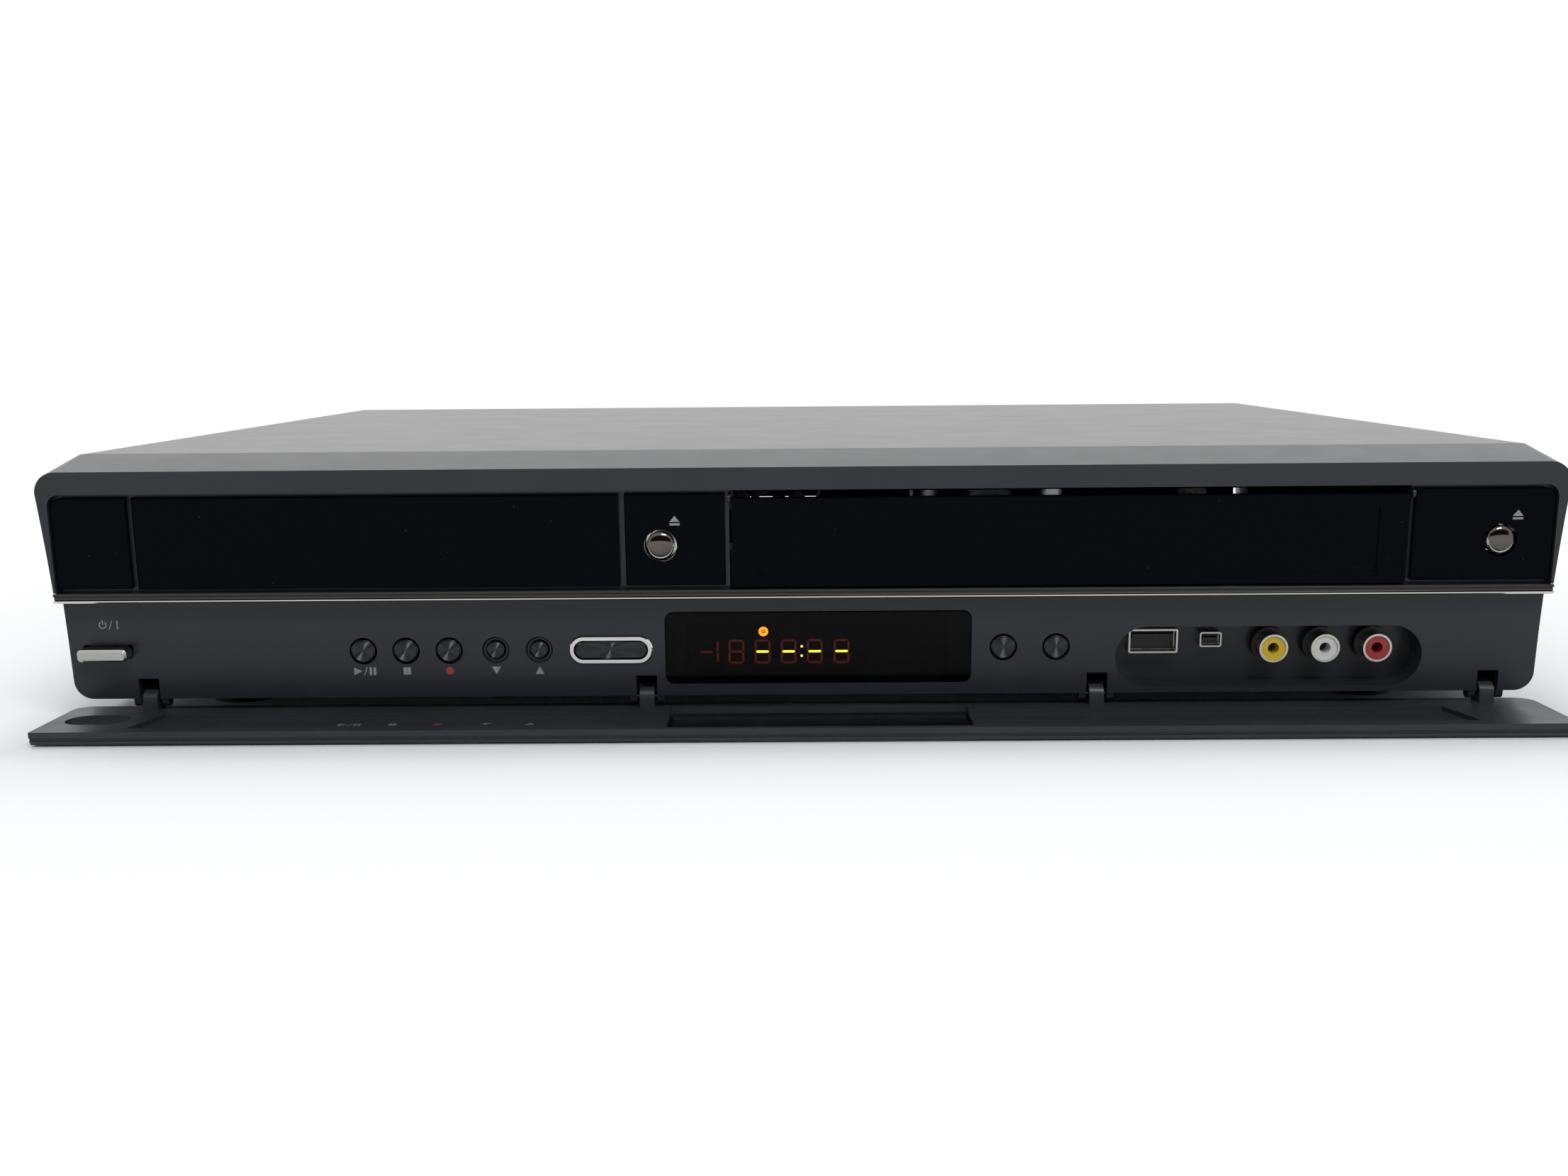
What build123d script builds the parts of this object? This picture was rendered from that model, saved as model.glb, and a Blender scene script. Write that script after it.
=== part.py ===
"""Recorder that plays discs and video cassettes, in one low casing.

A folded steel pan carries a disc drive, a cassette deck and the boards. A moulded
front closes it, with a row of gloss covers above a panel of buttons and sockets,
and a long flap along the bottom edge that hangs open here. A pressed cover slides
over the top and sides.

Millimetres. X runs to the right as seen from the front, Y to the back, Z up. The
origin is on the table, below the middle of the whole recorder with its flap open.
"""

import os
from math import cos, radians, sin, tan

from build123d import *

os.makedirs("parts", exist_ok=True)

# ---------------------------------------------------------------- driving sizes
# Casing
front_height = 70.5  # moulded front, from the top of the cover to its bottom edge
cover_width = 426.0
cover_length = 317.0  # from the seam behind the front to the rear edge
seam_depth = 24.0  # the moulded front's own depth, brow to seam
rear_jack_reach = 10.0  # how far the aerial sockets stand out behind the cover
cover_sheet = 0.8
chassis_sheet = 1.0
foot_height = 7.0
sheet_gap = 0.3  # between the cover's sides and the pan's flanges
body_height = foot_height + chassis_sheet + front_height  # table to the top of the cover

# Moulded front
lean = 4.0  # degrees, the whole face tips forward at its top
brow_half_width = cover_width / 2 + 2.0
waist_half_width = cover_width / 2 - 0.1
base_half_width = cover_width / 2 - 1.6
brow_drop = 3.5  # the brow's front edge lies this far below the cover
brow_bottom = 9.9
face_level = 20.0  # height below the cover where the gloss face is placed
face_setback = 2.0  # gloss face behind the brow there
brow_proud = 0.85  # brow in front of the gloss face
panel_setback = 4.4  # lower panel behind the gloss face
strip_setback = 1.0  # ledge that carries the bright strip
gloss_thickness = 2.2
wall = 2.4  # moulded wall of the lower panel
strip_top = 38.5
strip_bottom = 41.2
panel_top = 41.5
window_half_width = waist_half_width - 1.0
fit_gap = 0.3

# Flap
flap_thickness = 3.9
flap_half_width = cover_width / 2 + 0.6
flap_back = 16.0  # behind the brow's front
flap_pivot_depth = 12.5
flap_pivot_level = front_height + 0.8
flap_gap = 0.3  # closed flap in front of the lower panel
hinge_places = (-189.9, -44.8, 85.8, 198.6)
lug_width = 4.2
slot_width = 6.0
slot_top = front_height - 6.0
hinge_pin_radius = 0.8

# ---------------------------------------------------------------- shared places
flap_length = (flap_pivot_level - panel_top - flap_gap) / cos(radians(lean))
flap_reach = flap_length - flap_pivot_depth  # open flap in front of the brow
whole_depth = flap_reach + seam_depth + cover_length + rear_jack_reach
front_y = flap_reach - whole_depth / 2


def depth(back):
    """Y of a point this far behind the brow's front."""
    return front_y + back


def level(below):
    """Z of a point this far below the top of the cover."""
    return body_height - below


def up_face(below):
    """Place up the leaning face for a height below the cover."""
    return (face_level - below) / cos(radians(lean))


def gloss_depth(below):
    """Depth of the gloss face at a height below the cover."""
    return face_setback + (below - face_level) * tan(radians(lean))


def face_plane(setback):
    """The leaning plane that lies this far behind the gloss face, square behind it."""
    return Plane(
        origin=(0, depth(gloss_depth(face_level)), level(face_level)),
        x_dir=(1, 0, 0),
        z_dir=(0, -cos(radians(lean)), -sin(radians(lean))),
    ).offset(-setback)


def on_face(left, right, top, bottom):
    """Centre and size of a rectangle given by its edges on the face."""
    middle = ((left + right) / 2, (up_face(top) + up_face(bottom)) / 2)
    return middle, right - left, up_face(top) - up_face(bottom)


def upright(back):
    """A plane facing the front, this far behind the brow. Local Y is up."""
    return Plane.XZ.offset(-depth(back))


def save(part, name):
    """Label a finished piece and write it under its own name."""
    part.label = name
    export_step(part, f"parts/{name}.step")


seam_y = depth(seam_depth)
cover_rear_y = depth(seam_depth + cover_length)
inner_half_width = cover_width / 2 - cover_sheet
chassis_half_width = inner_half_width - sheet_gap

# ---------------------------------------------------------------- top cover
cover_bend = 2.5
cover_side_bottom = front_height - 0.5
rear_lip = 4.0
vent_count = 14
vent_pitch = 8.0
vent_length = 3.0
vent_height = 24.0
vent_level = 40.0  # their middle, below the top
vent_back = 70.0  # their middle, behind the cover's

cover_middle_y = (seam_y + cover_rear_y) / 2
cover_skirt = level(cover_side_bottom)
with BuildPart() as top_cover:
    with BuildSketch(Plane.XZ.offset(-seam_y)) as cover_section:
        with BuildLine():
            Polyline(
                (-cover_width / 2, cover_skirt),
                (-cover_width / 2, body_height),
                (cover_width / 2, body_height),
                (cover_width / 2, cover_skirt),
                (inner_half_width, cover_skirt),
                (inner_half_width, body_height - cover_sheet),
                (-inner_half_width, body_height - cover_sheet),
                (-inner_half_width, cover_skirt),
                close=True,
            )
        make_face()
        fillet(cover_section.vertices().group_by(Axis.Y)[-1], cover_bend)
        fillet(cover_section.vertices().group_by(Axis.Y)[-2], cover_bend - cover_sheet)
    extrude(amount=-cover_length)
    # the rear edge is turned down as a short lip over the rear panel
    with BuildSketch(Plane.XZ.offset(-cover_rear_y)):
        with Locations((0, body_height - cover_sheet / 2)):
            Rectangle(
                cover_width - 2 * cover_bend - 1, rear_lip, align=(Align.CENTER, Align.MAX)
            )
    extrude(amount=cover_sheet)
    # cooling slots in both sides, above the power supply
    with BuildSketch(Plane.YZ.offset(-cover_width / 2 - 1)):
        with Locations((cover_middle_y + vent_back, level(vent_level))):
            with GridLocations(vent_pitch, 1, vent_count, 1):
                Rectangle(vent_length, vent_height)
    extrude(amount=cover_width + 2, mode=Mode.SUBTRACT)
save(top_cover.part, "top_cover")

# ---------------------------------------------------------------- chassis pan
pan_bottom = foot_height
flange_height = 16.0
pan_corner = 1.5
board_post = 6.0  # height of the lanced posts under the boards
board_post_size = 5.0
board_post_inset = 5.0
main_board_size = (160.0, 120.0)
main_board_middle = (75.0, seam_depth + cover_length - 73.0)  # across, and behind the brow
supply_size = (170.0, 76.0)
supply_middle = (-105.0, seam_depth + cover_length - 49.0)
with BuildPart() as base_chassis:
    with BuildSketch(upright(seam_depth)) as pan_section:
        with BuildLine():
            Polyline(
                (-chassis_half_width, pan_bottom + flange_height),
                (-chassis_half_width, pan_bottom),
                (chassis_half_width, pan_bottom),
                (chassis_half_width, pan_bottom + flange_height),
                (chassis_half_width - chassis_sheet, pan_bottom + flange_height),
                (chassis_half_width - chassis_sheet, pan_bottom + chassis_sheet),
                (-chassis_half_width + chassis_sheet, pan_bottom + chassis_sheet),
                (-chassis_half_width + chassis_sheet, pan_bottom + flange_height),
                close=True,
            )
        make_face()
        fillet(pan_section.vertices().group_by(Axis.Y)[0], pan_corner + chassis_sheet)
        fillet(pan_section.vertices().group_by(Axis.Y)[1], pan_corner)
    extrude(amount=-(cover_length - 2 * cover_sheet))
    # posts lanced from the floor, that carry the boards
    with BuildSketch(Plane.XY.offset(pan_bottom + chassis_sheet)):
        for middle, spread in ((main_board_middle, main_board_size), (supply_middle, supply_size)):
            with Locations((middle[0], depth(middle[1]))):
                with GridLocations(spread[0] - 2 * board_post_inset,
                                   spread[1] - 2 * board_post_inset, 2, 2):
                    Rectangle(board_post_size, board_post_size)
    extrude(amount=board_post)
save(base_chassis.part, "base_chassis")

# ---------------------------------------------------------------- moulded front
brow_corner = 6.0
seam_corner = cover_bend
base_corner = 5.5
window_corner = 3.5
cavity_half_width = window_half_width - 3.1
door_gap = 0.8

# Covers and doors in the window, by their edges on the face
left_cover = (-window_half_width + fit_gap, -190.4, 11.0, 37.2)
dvd_door = (-188.6, -51.1, 11.1, 37.4)
dvd_cover = (-49.4, -21.1, 11.0, 37.2)
vcr_door = (-19.2, 171.05, 12.2, 37.8)
vcr_cover = (172.6, window_half_width - fit_gap, 11.0, 37.2)
tray_mouth = (-186.2, -53.5, 15.0, 36.0)

# Controls on the lower panel, by their centres
button_level = 57.0
transport_places = {"play": -126.7, "stop": -114.3, "record": -101.8}
program_places = {"program_down": -88.3, "program_up": -75.7}
mode_places = {"select": 58.5, "resolution": 73.7}
button_hole_radius = 4.0
program_hole_radius = 3.0
program_dish = 1.0
eject_places = {"disc_eject": -39.4, "tape_eject": 196.9}
eject_level = 25.8
eject_hole_radius = 4.65
power_slot = (-208.1, -193.5, 54.6, 58.8)
dubbing_ring_edges = (-67.0, -42.7, 52.8, 61.2)
ring_flange = 0.7
display_opening = (-39.2, 49.3, 46.0, 67.4)
display_corner = 2.5
socket_recess = (90.8, 179.1, 51.3, 69.1)
recess_depth = 9.0
recess_wall = 1.5
board_setback = 18.0
post_places = ((-180.0, 50.0), (-150.0, 64.0), (-84.0, 50.0), (66.1, 49.0), (66.1, 65.0))
post_size = 5.0
eject_post_spread = 15.0
eject_post_size = 2.5
post_root = 0.5  # how far a post reaches into the wall that carries it

# Pivots
pin_length = slot_width + 4.0
ear_radius = 1.9
lug_radius = 3.0
running_gap = 0.05
door_thickness = 1.5
vcr_pivot_level = 12.4
door_pin_radius = 0.5
door_ear_gap = 0.35
door_ear = 0.8
door_ear_radius = 1.3
flap_pivot = (depth(flap_pivot_depth), level(flap_pivot_level))
vcr_pivot = (
    depth(gloss_depth(vcr_pivot_level) + door_thickness / 2 / cos(radians(lean))),
    level(vcr_pivot_level),
)

panel_inside = panel_setback + wall
recess_floor = panel_setback + recess_depth
flank_middle = 34.0  # height below the cover where the bowed flank is widest
seat_half = cover_width / 2 + 0.4
roof_wall = 2.4
window_floor_bottom = 39.4


def front_outline(half_top, half_middle, half_base, corner, top, edge):
    """Outline of the moulded front in local X and height, with a bowed flank."""
    low = edge(front_height)
    high = edge(top)
    middle = edge(flank_middle)
    with BuildSketch(mode=Mode.PRIVATE) as outline:
        with BuildLine():
            Line((-half_base + base_corner, low), (half_base - base_corner, low))
            RadiusArc(
                (half_base - base_corner, low), (half_base, low + base_corner), -base_corner
            )
            ThreePointArc(
                (half_base, low + base_corner), (half_middle, middle), (half_top, high - corner)
            )
            RadiusArc((half_top, high - corner), (half_top - corner, high), -corner)
            Line((half_top - corner, high), (-half_top + corner, high))
            RadiusArc((-half_top + corner, high), (-half_top, high - corner), -corner)
            ThreePointArc(
                (-half_top, high - corner), (-half_middle, middle), (-half_base, low + base_corner)
            )
            RadiusArc(
                (-half_base, low + base_corner), (-half_base + base_corner, low), -base_corner
            )
        make_face()
    return outline.sketch


def side_strip(*corners):
    """A closed side section from (setback behind the gloss face, height below the cover)."""
    with BuildSketch(Plane.YZ, mode=Mode.PRIVATE) as section:
        with BuildLine():
            Polyline(
                *[
                    (depth(gloss_depth(below) + back / cos(radians(lean))), level(below))
                    for back, below in corners
                ],
                close=True,
            )
        make_face()
    return section.sketch


back_edge = seam_depth - gloss_depth(face_level)
with BuildPart() as front_bezel:
    # outside: the flank and the brow run back to the seam in one loft
    with BuildSketch(face_plane(-brow_proud)):
        add(
            front_outline(
                brow_half_width, waist_half_width, base_half_width,
                brow_corner, brow_drop, up_face,
            )
        )
    with BuildSketch(upright(seam_depth)):
        add(front_outline(seat_half, seat_half - 0.3, seat_half - 0.6, seam_corner, 0.0, level))
    loft(ruled=True)
    # the strip's ledge and the lower panel stand back from the brow, full width
    extrude(
        side_strip((-9, strip_top - 0.2), (strip_setback, strip_top - 0.2),
                   (strip_setback, panel_top), (panel_setback, panel_top),
                   (panel_setback, 80), (-9, 80)),
        amount=brow_half_width + 5, both=True, mode=Mode.SUBTRACT,
    )
    # hollow behind, open to the casing
    extrude(
        side_strip((back_edge + 3, roof_wall), (back_edge - 3, roof_wall), (roof_wall, 6.2),
                   (roof_wall, 7.6), (panel_setback, 7.6), (panel_setback, window_floor_bottom),
                   (panel_inside, window_floor_bottom), (panel_inside, front_height - 2.2),
                   (back_edge + 3, front_height - 2.2)),
        amount=cavity_half_width, both=True, mode=Mode.SUBTRACT,
    )
    # window that the gloss covers and doors sit in
    with BuildSketch(face_plane(-brow_proud - 1)) as window:
        middle, wide, high = on_face(-window_half_width, window_half_width, brow_bottom, strip_top)
        with Locations(middle):
            Rectangle(wide, high)
        fillet(window.vertices().group_by(Axis.Y)[-1], window_corner)
    extrude(amount=-(gloss_thickness + brow_proud + 1), mode=Mode.SUBTRACT)
    # openings through the window's floor
    with BuildSketch(face_plane(0)):
        middle, wide, high = on_face(*tray_mouth)
        with Locations(middle):
            Rectangle(wide, high)
        left, right, top, bottom = vcr_door
        middle, wide, high = on_face(left - door_gap, right + door_gap, 10.4, strip_top)
        with Locations(middle):
            Rectangle(wide, high)
        for place in eject_places.values():
            with Locations((place, up_face(eject_level))):
                Circle(eject_hole_radius + 0.5)
    extrude(amount=-(panel_setback + 4), mode=Mode.SUBTRACT)
    # holes in the lower panel
    with BuildSketch(face_plane(panel_setback - 1)):
        for place in (*transport_places.values(), *mode_places.values()):
            with Locations((place, up_face(button_level))):
                Circle(button_hole_radius)
        for place in program_places.values():
            with Locations((place, up_face(button_level))):
                Circle(program_hole_radius)
        for opening, corner in ((power_slot, 0.8), (display_opening, display_corner)):
            middle, wide, high = on_face(*opening)
            with Locations(middle):
                RectangleRounded(wide, high, corner)
        middle, wide, high = on_face(*dubbing_ring_edges)
        with Locations(middle):
            SlotOverall(wide - 2 * ring_flange, high - 2 * ring_flange)
    extrude(amount=-(wall + 2), mode=Mode.SUBTRACT)
    # dishes round the two small programme buttons
    with BuildSketch(face_plane(panel_setback - 0.01)):
        for place in program_places.values():
            with Locations((place, up_face(button_level))):
                Circle(button_hole_radius)
    extrude(amount=-program_dish, taper=30, mode=Mode.SUBTRACT)
    # cup for the sockets, moulded with the panel
    middle, wide, high = on_face(*socket_recess)
    with BuildSketch(face_plane(panel_inside - 0.5)):
        with Locations(middle):
            SlotOverall(wide + 2 * recess_wall, high + 2 * recess_wall - 1.6)
    extrude(amount=-(recess_depth - wall + 0.5 + recess_wall))
    with BuildSketch(face_plane(panel_setback - 1)):
        with Locations(middle):
            SlotOverall(wide, high)
    extrude(amount=-(1 + recess_depth), mode=Mode.SUBTRACT)
    # posts that hold the button board and the two eject boards
    with BuildSketch(face_plane(panel_inside - post_root)):
        for place, below in post_places:
            with Locations((place, up_face(below))):
                Rectangle(post_size, post_size)
    extrude(amount=-(board_setback - panel_inside + post_root))
    with BuildSketch(face_plane(panel_setback - post_root)):
        for place in eject_places.values():
            with Locations((place, up_face(eject_level))):
                with GridLocations(eject_post_spread, eject_post_spread, 2, 2):
                    Rectangle(eject_post_size, eject_post_size)
    extrude(amount=-(board_setback - panel_setback + post_root))
    # ears below the bottom edge that hold the flap's pins
    for place in hinge_places:
        with BuildSketch(Plane.YZ.offset(place - pin_length / 2)):
            with Locations(flap_pivot):
                Circle(ear_radius)
            with Locations((flap_pivot[0], level(front_height))):
                Rectangle(2 * ear_radius, 1.4, align=(Align.CENTER, Align.CENTER))
        extrude(amount=pin_length)
    # slots for the flap's hinge lugs, open through the bottom edge
    for place in hinge_places:
        with BuildSketch(Plane.YZ.offset(place - slot_width / 2)):
            with Locations((flap_pivot[0] + lug_radius + 0.6, level(slot_top))):
                Rectangle(9.5, 12, align=(Align.MAX, Align.MAX))
        extrude(amount=slot_width, mode=Mode.SUBTRACT)
        with BuildSketch(Plane.YZ.offset(place - pin_length / 2)):
            with Locations(flap_pivot):
                Circle(hinge_pin_radius)
        extrude(amount=pin_length, mode=Mode.SUBTRACT)
    # thin ears in the gaps beside the cassette door, with a bore for its pins
    for side in (-1, 1):
        door_end = vcr_door[0] if side < 0 else vcr_door[1]
        with BuildSketch(Plane.YZ.offset(door_end + side * door_ear_gap)):
            with Locations(vcr_pivot):
                Circle(door_ear_radius)
            with Locations((vcr_pivot[0], vcr_pivot[1])):
                Rectangle(3.4, 2 * door_ear_radius, align=(Align.MIN, Align.CENTER))
            with Locations(vcr_pivot):
                Circle(door_pin_radius + running_gap, mode=Mode.SUBTRACT)
        extrude(amount=side * door_ear)
save(front_bezel.part, "front_bezel")

# ---------------------------------------------------------------- gloss covers
cover_edge = 0.3


def gloss_plate(name, edges, thickness, hole=None, outer=0):
    """A gloss cover for the window. A hole takes a button, and outer rounds an end corner."""
    middle, wide, high = on_face(*edges)
    with BuildPart() as plate:
        with BuildSketch(face_plane(0)) as outline:
            with Locations(middle):
                Rectangle(wide, high)
            if outer:
                top = outline.vertices().group_by(Axis.Y)[-1]
                fillet(top.sort_by(Axis.X)[min(outer, 0)], window_corner - fit_gap)
        extrude(amount=-thickness)
        chamfer(plate.faces().sort_by(Axis.Y)[0].edges(), cover_edge)
        if hole is not None:
            with BuildSketch(face_plane(-1)):
                with Locations((hole, up_face(eject_level))):
                    Circle(eject_hole_radius)
            extrude(amount=-(thickness + 2), mode=Mode.SUBTRACT)
    save(plate.part, name)


gloss_plate("left_cover", left_cover, gloss_thickness, outer=1)
gloss_plate("disc_button_cover", dvd_cover, gloss_thickness, eject_places["disc_eject"])
gloss_plate("tape_button_cover", vcr_cover, gloss_thickness, eject_places["tape_eject"], outer=-1)
gloss_plate("tray_door", dvd_door, gloss_thickness - fit_gap)

# ---------------------------------------------------------------- bright strip
strip_half_width = waist_half_width - 0.1
bead = 1.0
strip_proud = 1.0
groove_setback = -0.3
with BuildPart() as chrome_strip:
    extrude(
        side_strip((strip_setback, strip_top), (-strip_proud + 0.35, strip_top),
                   (-strip_proud, strip_top + 0.35), (-strip_proud, strip_top + bead - 0.3),
                   (groove_setback, strip_top + bead), (groove_setback, strip_bottom - bead),
                   (-strip_proud, strip_bottom - bead + 0.3), (-strip_proud, strip_bottom - 0.35),
                   (-strip_proud + 0.35, strip_bottom), (strip_setback, strip_bottom)),
        amount=strip_half_width, both=True,
    )
save(chrome_strip.part, "chrome_strip")

# ---------------------------------------------------------------- display window
window_flange = 1.5
window_proud = 0.2
window_edge = 0.2
with BuildPart() as display_window:
    middle, wide, high = on_face(*display_opening)
    with BuildSketch(face_plane(panel_setback - window_proud)):
        with Locations(middle):
            RectangleRounded(wide - 0.2, high - 0.2, display_corner - 0.1)
    extrude(amount=-(wall + window_proud))
    chamfer(display_window.faces().sort_by(Axis.Y)[0].edges(), window_edge)
    with BuildSketch(face_plane(panel_inside)):
        with Locations(middle):
            RectangleRounded(wide + 2 * window_flange, high - 0.2, display_corner)
    extrude(amount=-1.0)
save(display_window.part, "display_window")

# ---------------------------------------------------------------- bright ring
ring_proud = 0.8
ring_wall = 0.9
ring_edge = 0.35
with BuildPart() as dubbing_ring:
    middle, wide, high = on_face(*dubbing_ring_edges)
    sleeve_wide = wide - 2 * ring_flange - 0.1
    sleeve_high = high - 2 * ring_flange - 0.1
    with BuildSketch(face_plane(panel_setback - ring_proud)):
        with Locations(middle):
            SlotOverall(wide, high)
    extrude(amount=-ring_proud)
    chamfer(dubbing_ring.faces().sort_by(Axis.Y)[0].edges(), ring_edge)
    with BuildSketch(face_plane(panel_setback)):
        with Locations(middle):
            SlotOverall(sleeve_wide, sleeve_high)
    extrude(amount=-wall)
    with BuildSketch(face_plane(panel_setback - ring_proud - 1)):
        with Locations(middle):
            SlotOverall(sleeve_wide - 2 * ring_wall + 0.6, sleeve_high - 2 * ring_wall + 0.6)
    extrude(amount=-(wall + ring_proud + 2), mode=Mode.SUBTRACT)
save(dubbing_ring.part, "dubbing_ring")

# ---------------------------------------------------------------- buttons
button_flange = 1.0
flange_rim = 1.2
flange_gap = 0.15
flange_root = 0.5  # how far cap and stem reach into the flange
stem_size = 2.6
switch_height = 3.5
button_travel = 0.7
cap_radius = 3.45
small_cap_radius = 2.6
eject_cap_radius = 3.85
cap_edge = 0.4
cap_proud = 0.5
small_cap_proud = 0.2
switch_face = board_setback - switch_height
stem_end = switch_face - button_travel - 0.1


def round_button(name, centre, radius, hole_radius, face, back):
    """A round cap on a square stem, with a square flange that keeps it behind its hole."""
    flange_side = 2 * (hole_radius + flange_rim)
    with BuildPart() as button:
        with BuildSketch(face_plane(face)):
            with Locations(centre):
                Circle(radius)
        extrude(amount=-(back + flange_gap - face + flange_root))
        chamfer(button.faces().sort_by(Axis.Y)[0].edges(), cap_edge)
        with BuildSketch(face_plane(back + flange_gap)):
            with Locations(centre):
                Rectangle(flange_side, flange_side)
        extrude(amount=-button_flange)
        with BuildSketch(face_plane(back + flange_gap + flange_root)):
            with Locations(centre):
                Rectangle(stem_size, stem_size)
        extrude(amount=-(stem_end - back - flange_gap - flange_root))
    save(button.part, f"{name}_button")


for name, place in {**transport_places, **mode_places}.items():
    round_button(name, (place, up_face(button_level)), cap_radius, button_hole_radius,
                 panel_setback - cap_proud, panel_inside)
for name, place in program_places.items():
    round_button(name, (place, up_face(button_level)), small_cap_radius, program_hole_radius,
                 panel_setback - small_cap_proud, panel_inside)
for name, place in eject_places.items():
    round_button(name, (place, up_face(eject_level)), eject_cap_radius, eject_hole_radius,
                 -cap_proud, panel_setback)

dubbing_cap_inset = 3.3  # both sides together, inside the bright ring
with BuildPart() as dubbing_button:
    middle, wide, high = on_face(*dubbing_ring_edges)
    with BuildSketch(face_plane(panel_setback - cap_proud)):
        with Locations(middle):
            SlotOverall(wide - dubbing_cap_inset, high - dubbing_cap_inset + 0.3)
    extrude(amount=-(wall + cap_proud + flange_gap + flange_root))
    chamfer(dubbing_button.faces().sort_by(Axis.Y)[0].edges(), cap_edge)
    with BuildSketch(face_plane(panel_inside + flange_gap)):
        with Locations(middle):
            Rectangle(wide - 0.3, high)
    extrude(amount=-button_flange)
    with BuildSketch(face_plane(panel_inside + flange_root)):
        with Locations(middle):
            Rectangle(stem_size, stem_size)
    extrude(amount=-(stem_end - panel_inside - flange_root))
save(dubbing_button.part, "dubbing_button")

power_reach = 5.4
power_edge = 0.6
with BuildPart() as power_button:
    middle, wide, high = on_face(*power_slot)
    with BuildSketch(face_plane(panel_setback - power_reach)):
        with Locations(middle):
            RectangleRounded(wide - 0.4, high - 0.6, 1.2)
    extrude(amount=-(power_reach + wall + flange_gap + flange_root))
    chamfer(power_button.faces().sort_by(Axis.Y)[0].edges(), power_edge)
    with BuildSketch(face_plane(panel_inside + flange_gap)):
        with Locations(middle):
            Rectangle(wide + 1.2, high + 2.4)
    extrude(amount=-button_flange)
    with BuildSketch(face_plane(panel_inside + flange_root)):
        with Locations(middle):
            Rectangle(stem_size, stem_size)
    extrude(amount=-(stem_end - panel_inside - flange_root))
save(power_button.part, "power_button")

# ---------------------------------------------------------------- cassette door
door_groove_places = (-11.0, 162.0)  # finger grooves near both ends
door_groove_level = 25.2
door_groove_length = 18.4
door_groove_width = 1.5
door_groove_depth = 0.4
with BuildPart() as cassette_door:
    middle, wide, high = on_face(*vcr_door)
    with BuildSketch(face_plane(0)):
        with Locations(middle):
            Rectangle(wide, high)
    extrude(amount=-door_thickness)
    chamfer(cassette_door.faces().sort_by(Axis.Y)[0].edges(), cover_edge)
    with BuildSketch(face_plane(-1)):
        for place in door_groove_places:
            with Locations((place, up_face(door_groove_level))):
                Rectangle(door_groove_width, door_groove_length)
    extrude(amount=-(1 + door_groove_depth), mode=Mode.SUBTRACT)
    with BuildSketch(Plane.YZ.offset(vcr_door[0] - door_ear_gap - door_ear)):
        with Locations(vcr_pivot):
            Circle(door_pin_radius)
    extrude(amount=door_ear_gap + door_ear + 1)
    with BuildSketch(Plane.YZ.offset(vcr_door[1] - 1)):
        with Locations(vcr_pivot):
            Circle(door_pin_radius)
    extrude(amount=door_ear_gap + door_ear + 1)
save(cassette_door.part, "cassette_door")

# ---------------------------------------------------------------- flap, hanging open


def flap_depth(below):
    """Depth, on the open flap, of what covers this height below the cover when it is shut."""
    return flap_pivot_depth - (flap_pivot_level - below) / cos(radians(lean))


flap_corner = 5.0
edge_groove = 0.6  # groove along the free edge, by its depth and its two heights
edge_groove_top = 1.7
edge_groove_bottom = 2.7
edge_slope = 1.4
back_round = 2.2
recess_end_angle = 78
inner_recess = 1.3
recess_front = flap_depth(46.4)
recess_back = flap_depth(64.1)
recess_half_width = 188.0
lens_edges = (
    display_opening[0] + 1.3, display_opening[1] - 1.0,
    flap_depth(display_opening[2] - 2.1), flap_depth(display_opening[3] + 1.3),
)
lens_thickness = 1.3
lens_rebate = 1.5
lens_dome = 0.9
power_cutout = (
    power_slot[0] - 1.4, power_slot[1] + 2.0,
    flap_depth(power_slot[2] - 3.7), flap_depth(power_slot[3] + 4.0),
)
pivot_setback = (flap_pivot_depth - gloss_depth(flap_pivot_level)) * cos(radians(lean))
flap_inner = flap_pivot[1] - (pivot_setback - panel_setback + flap_gap)
flap_outer = flap_inner - flap_thickness


def on_flap(left, right, front, back):
    """Centre and size of a rectangle on the open flap, from depths behind the brow."""
    return ((left + right) / 2, depth((front + back) / 2)), right - left, back - front


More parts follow.
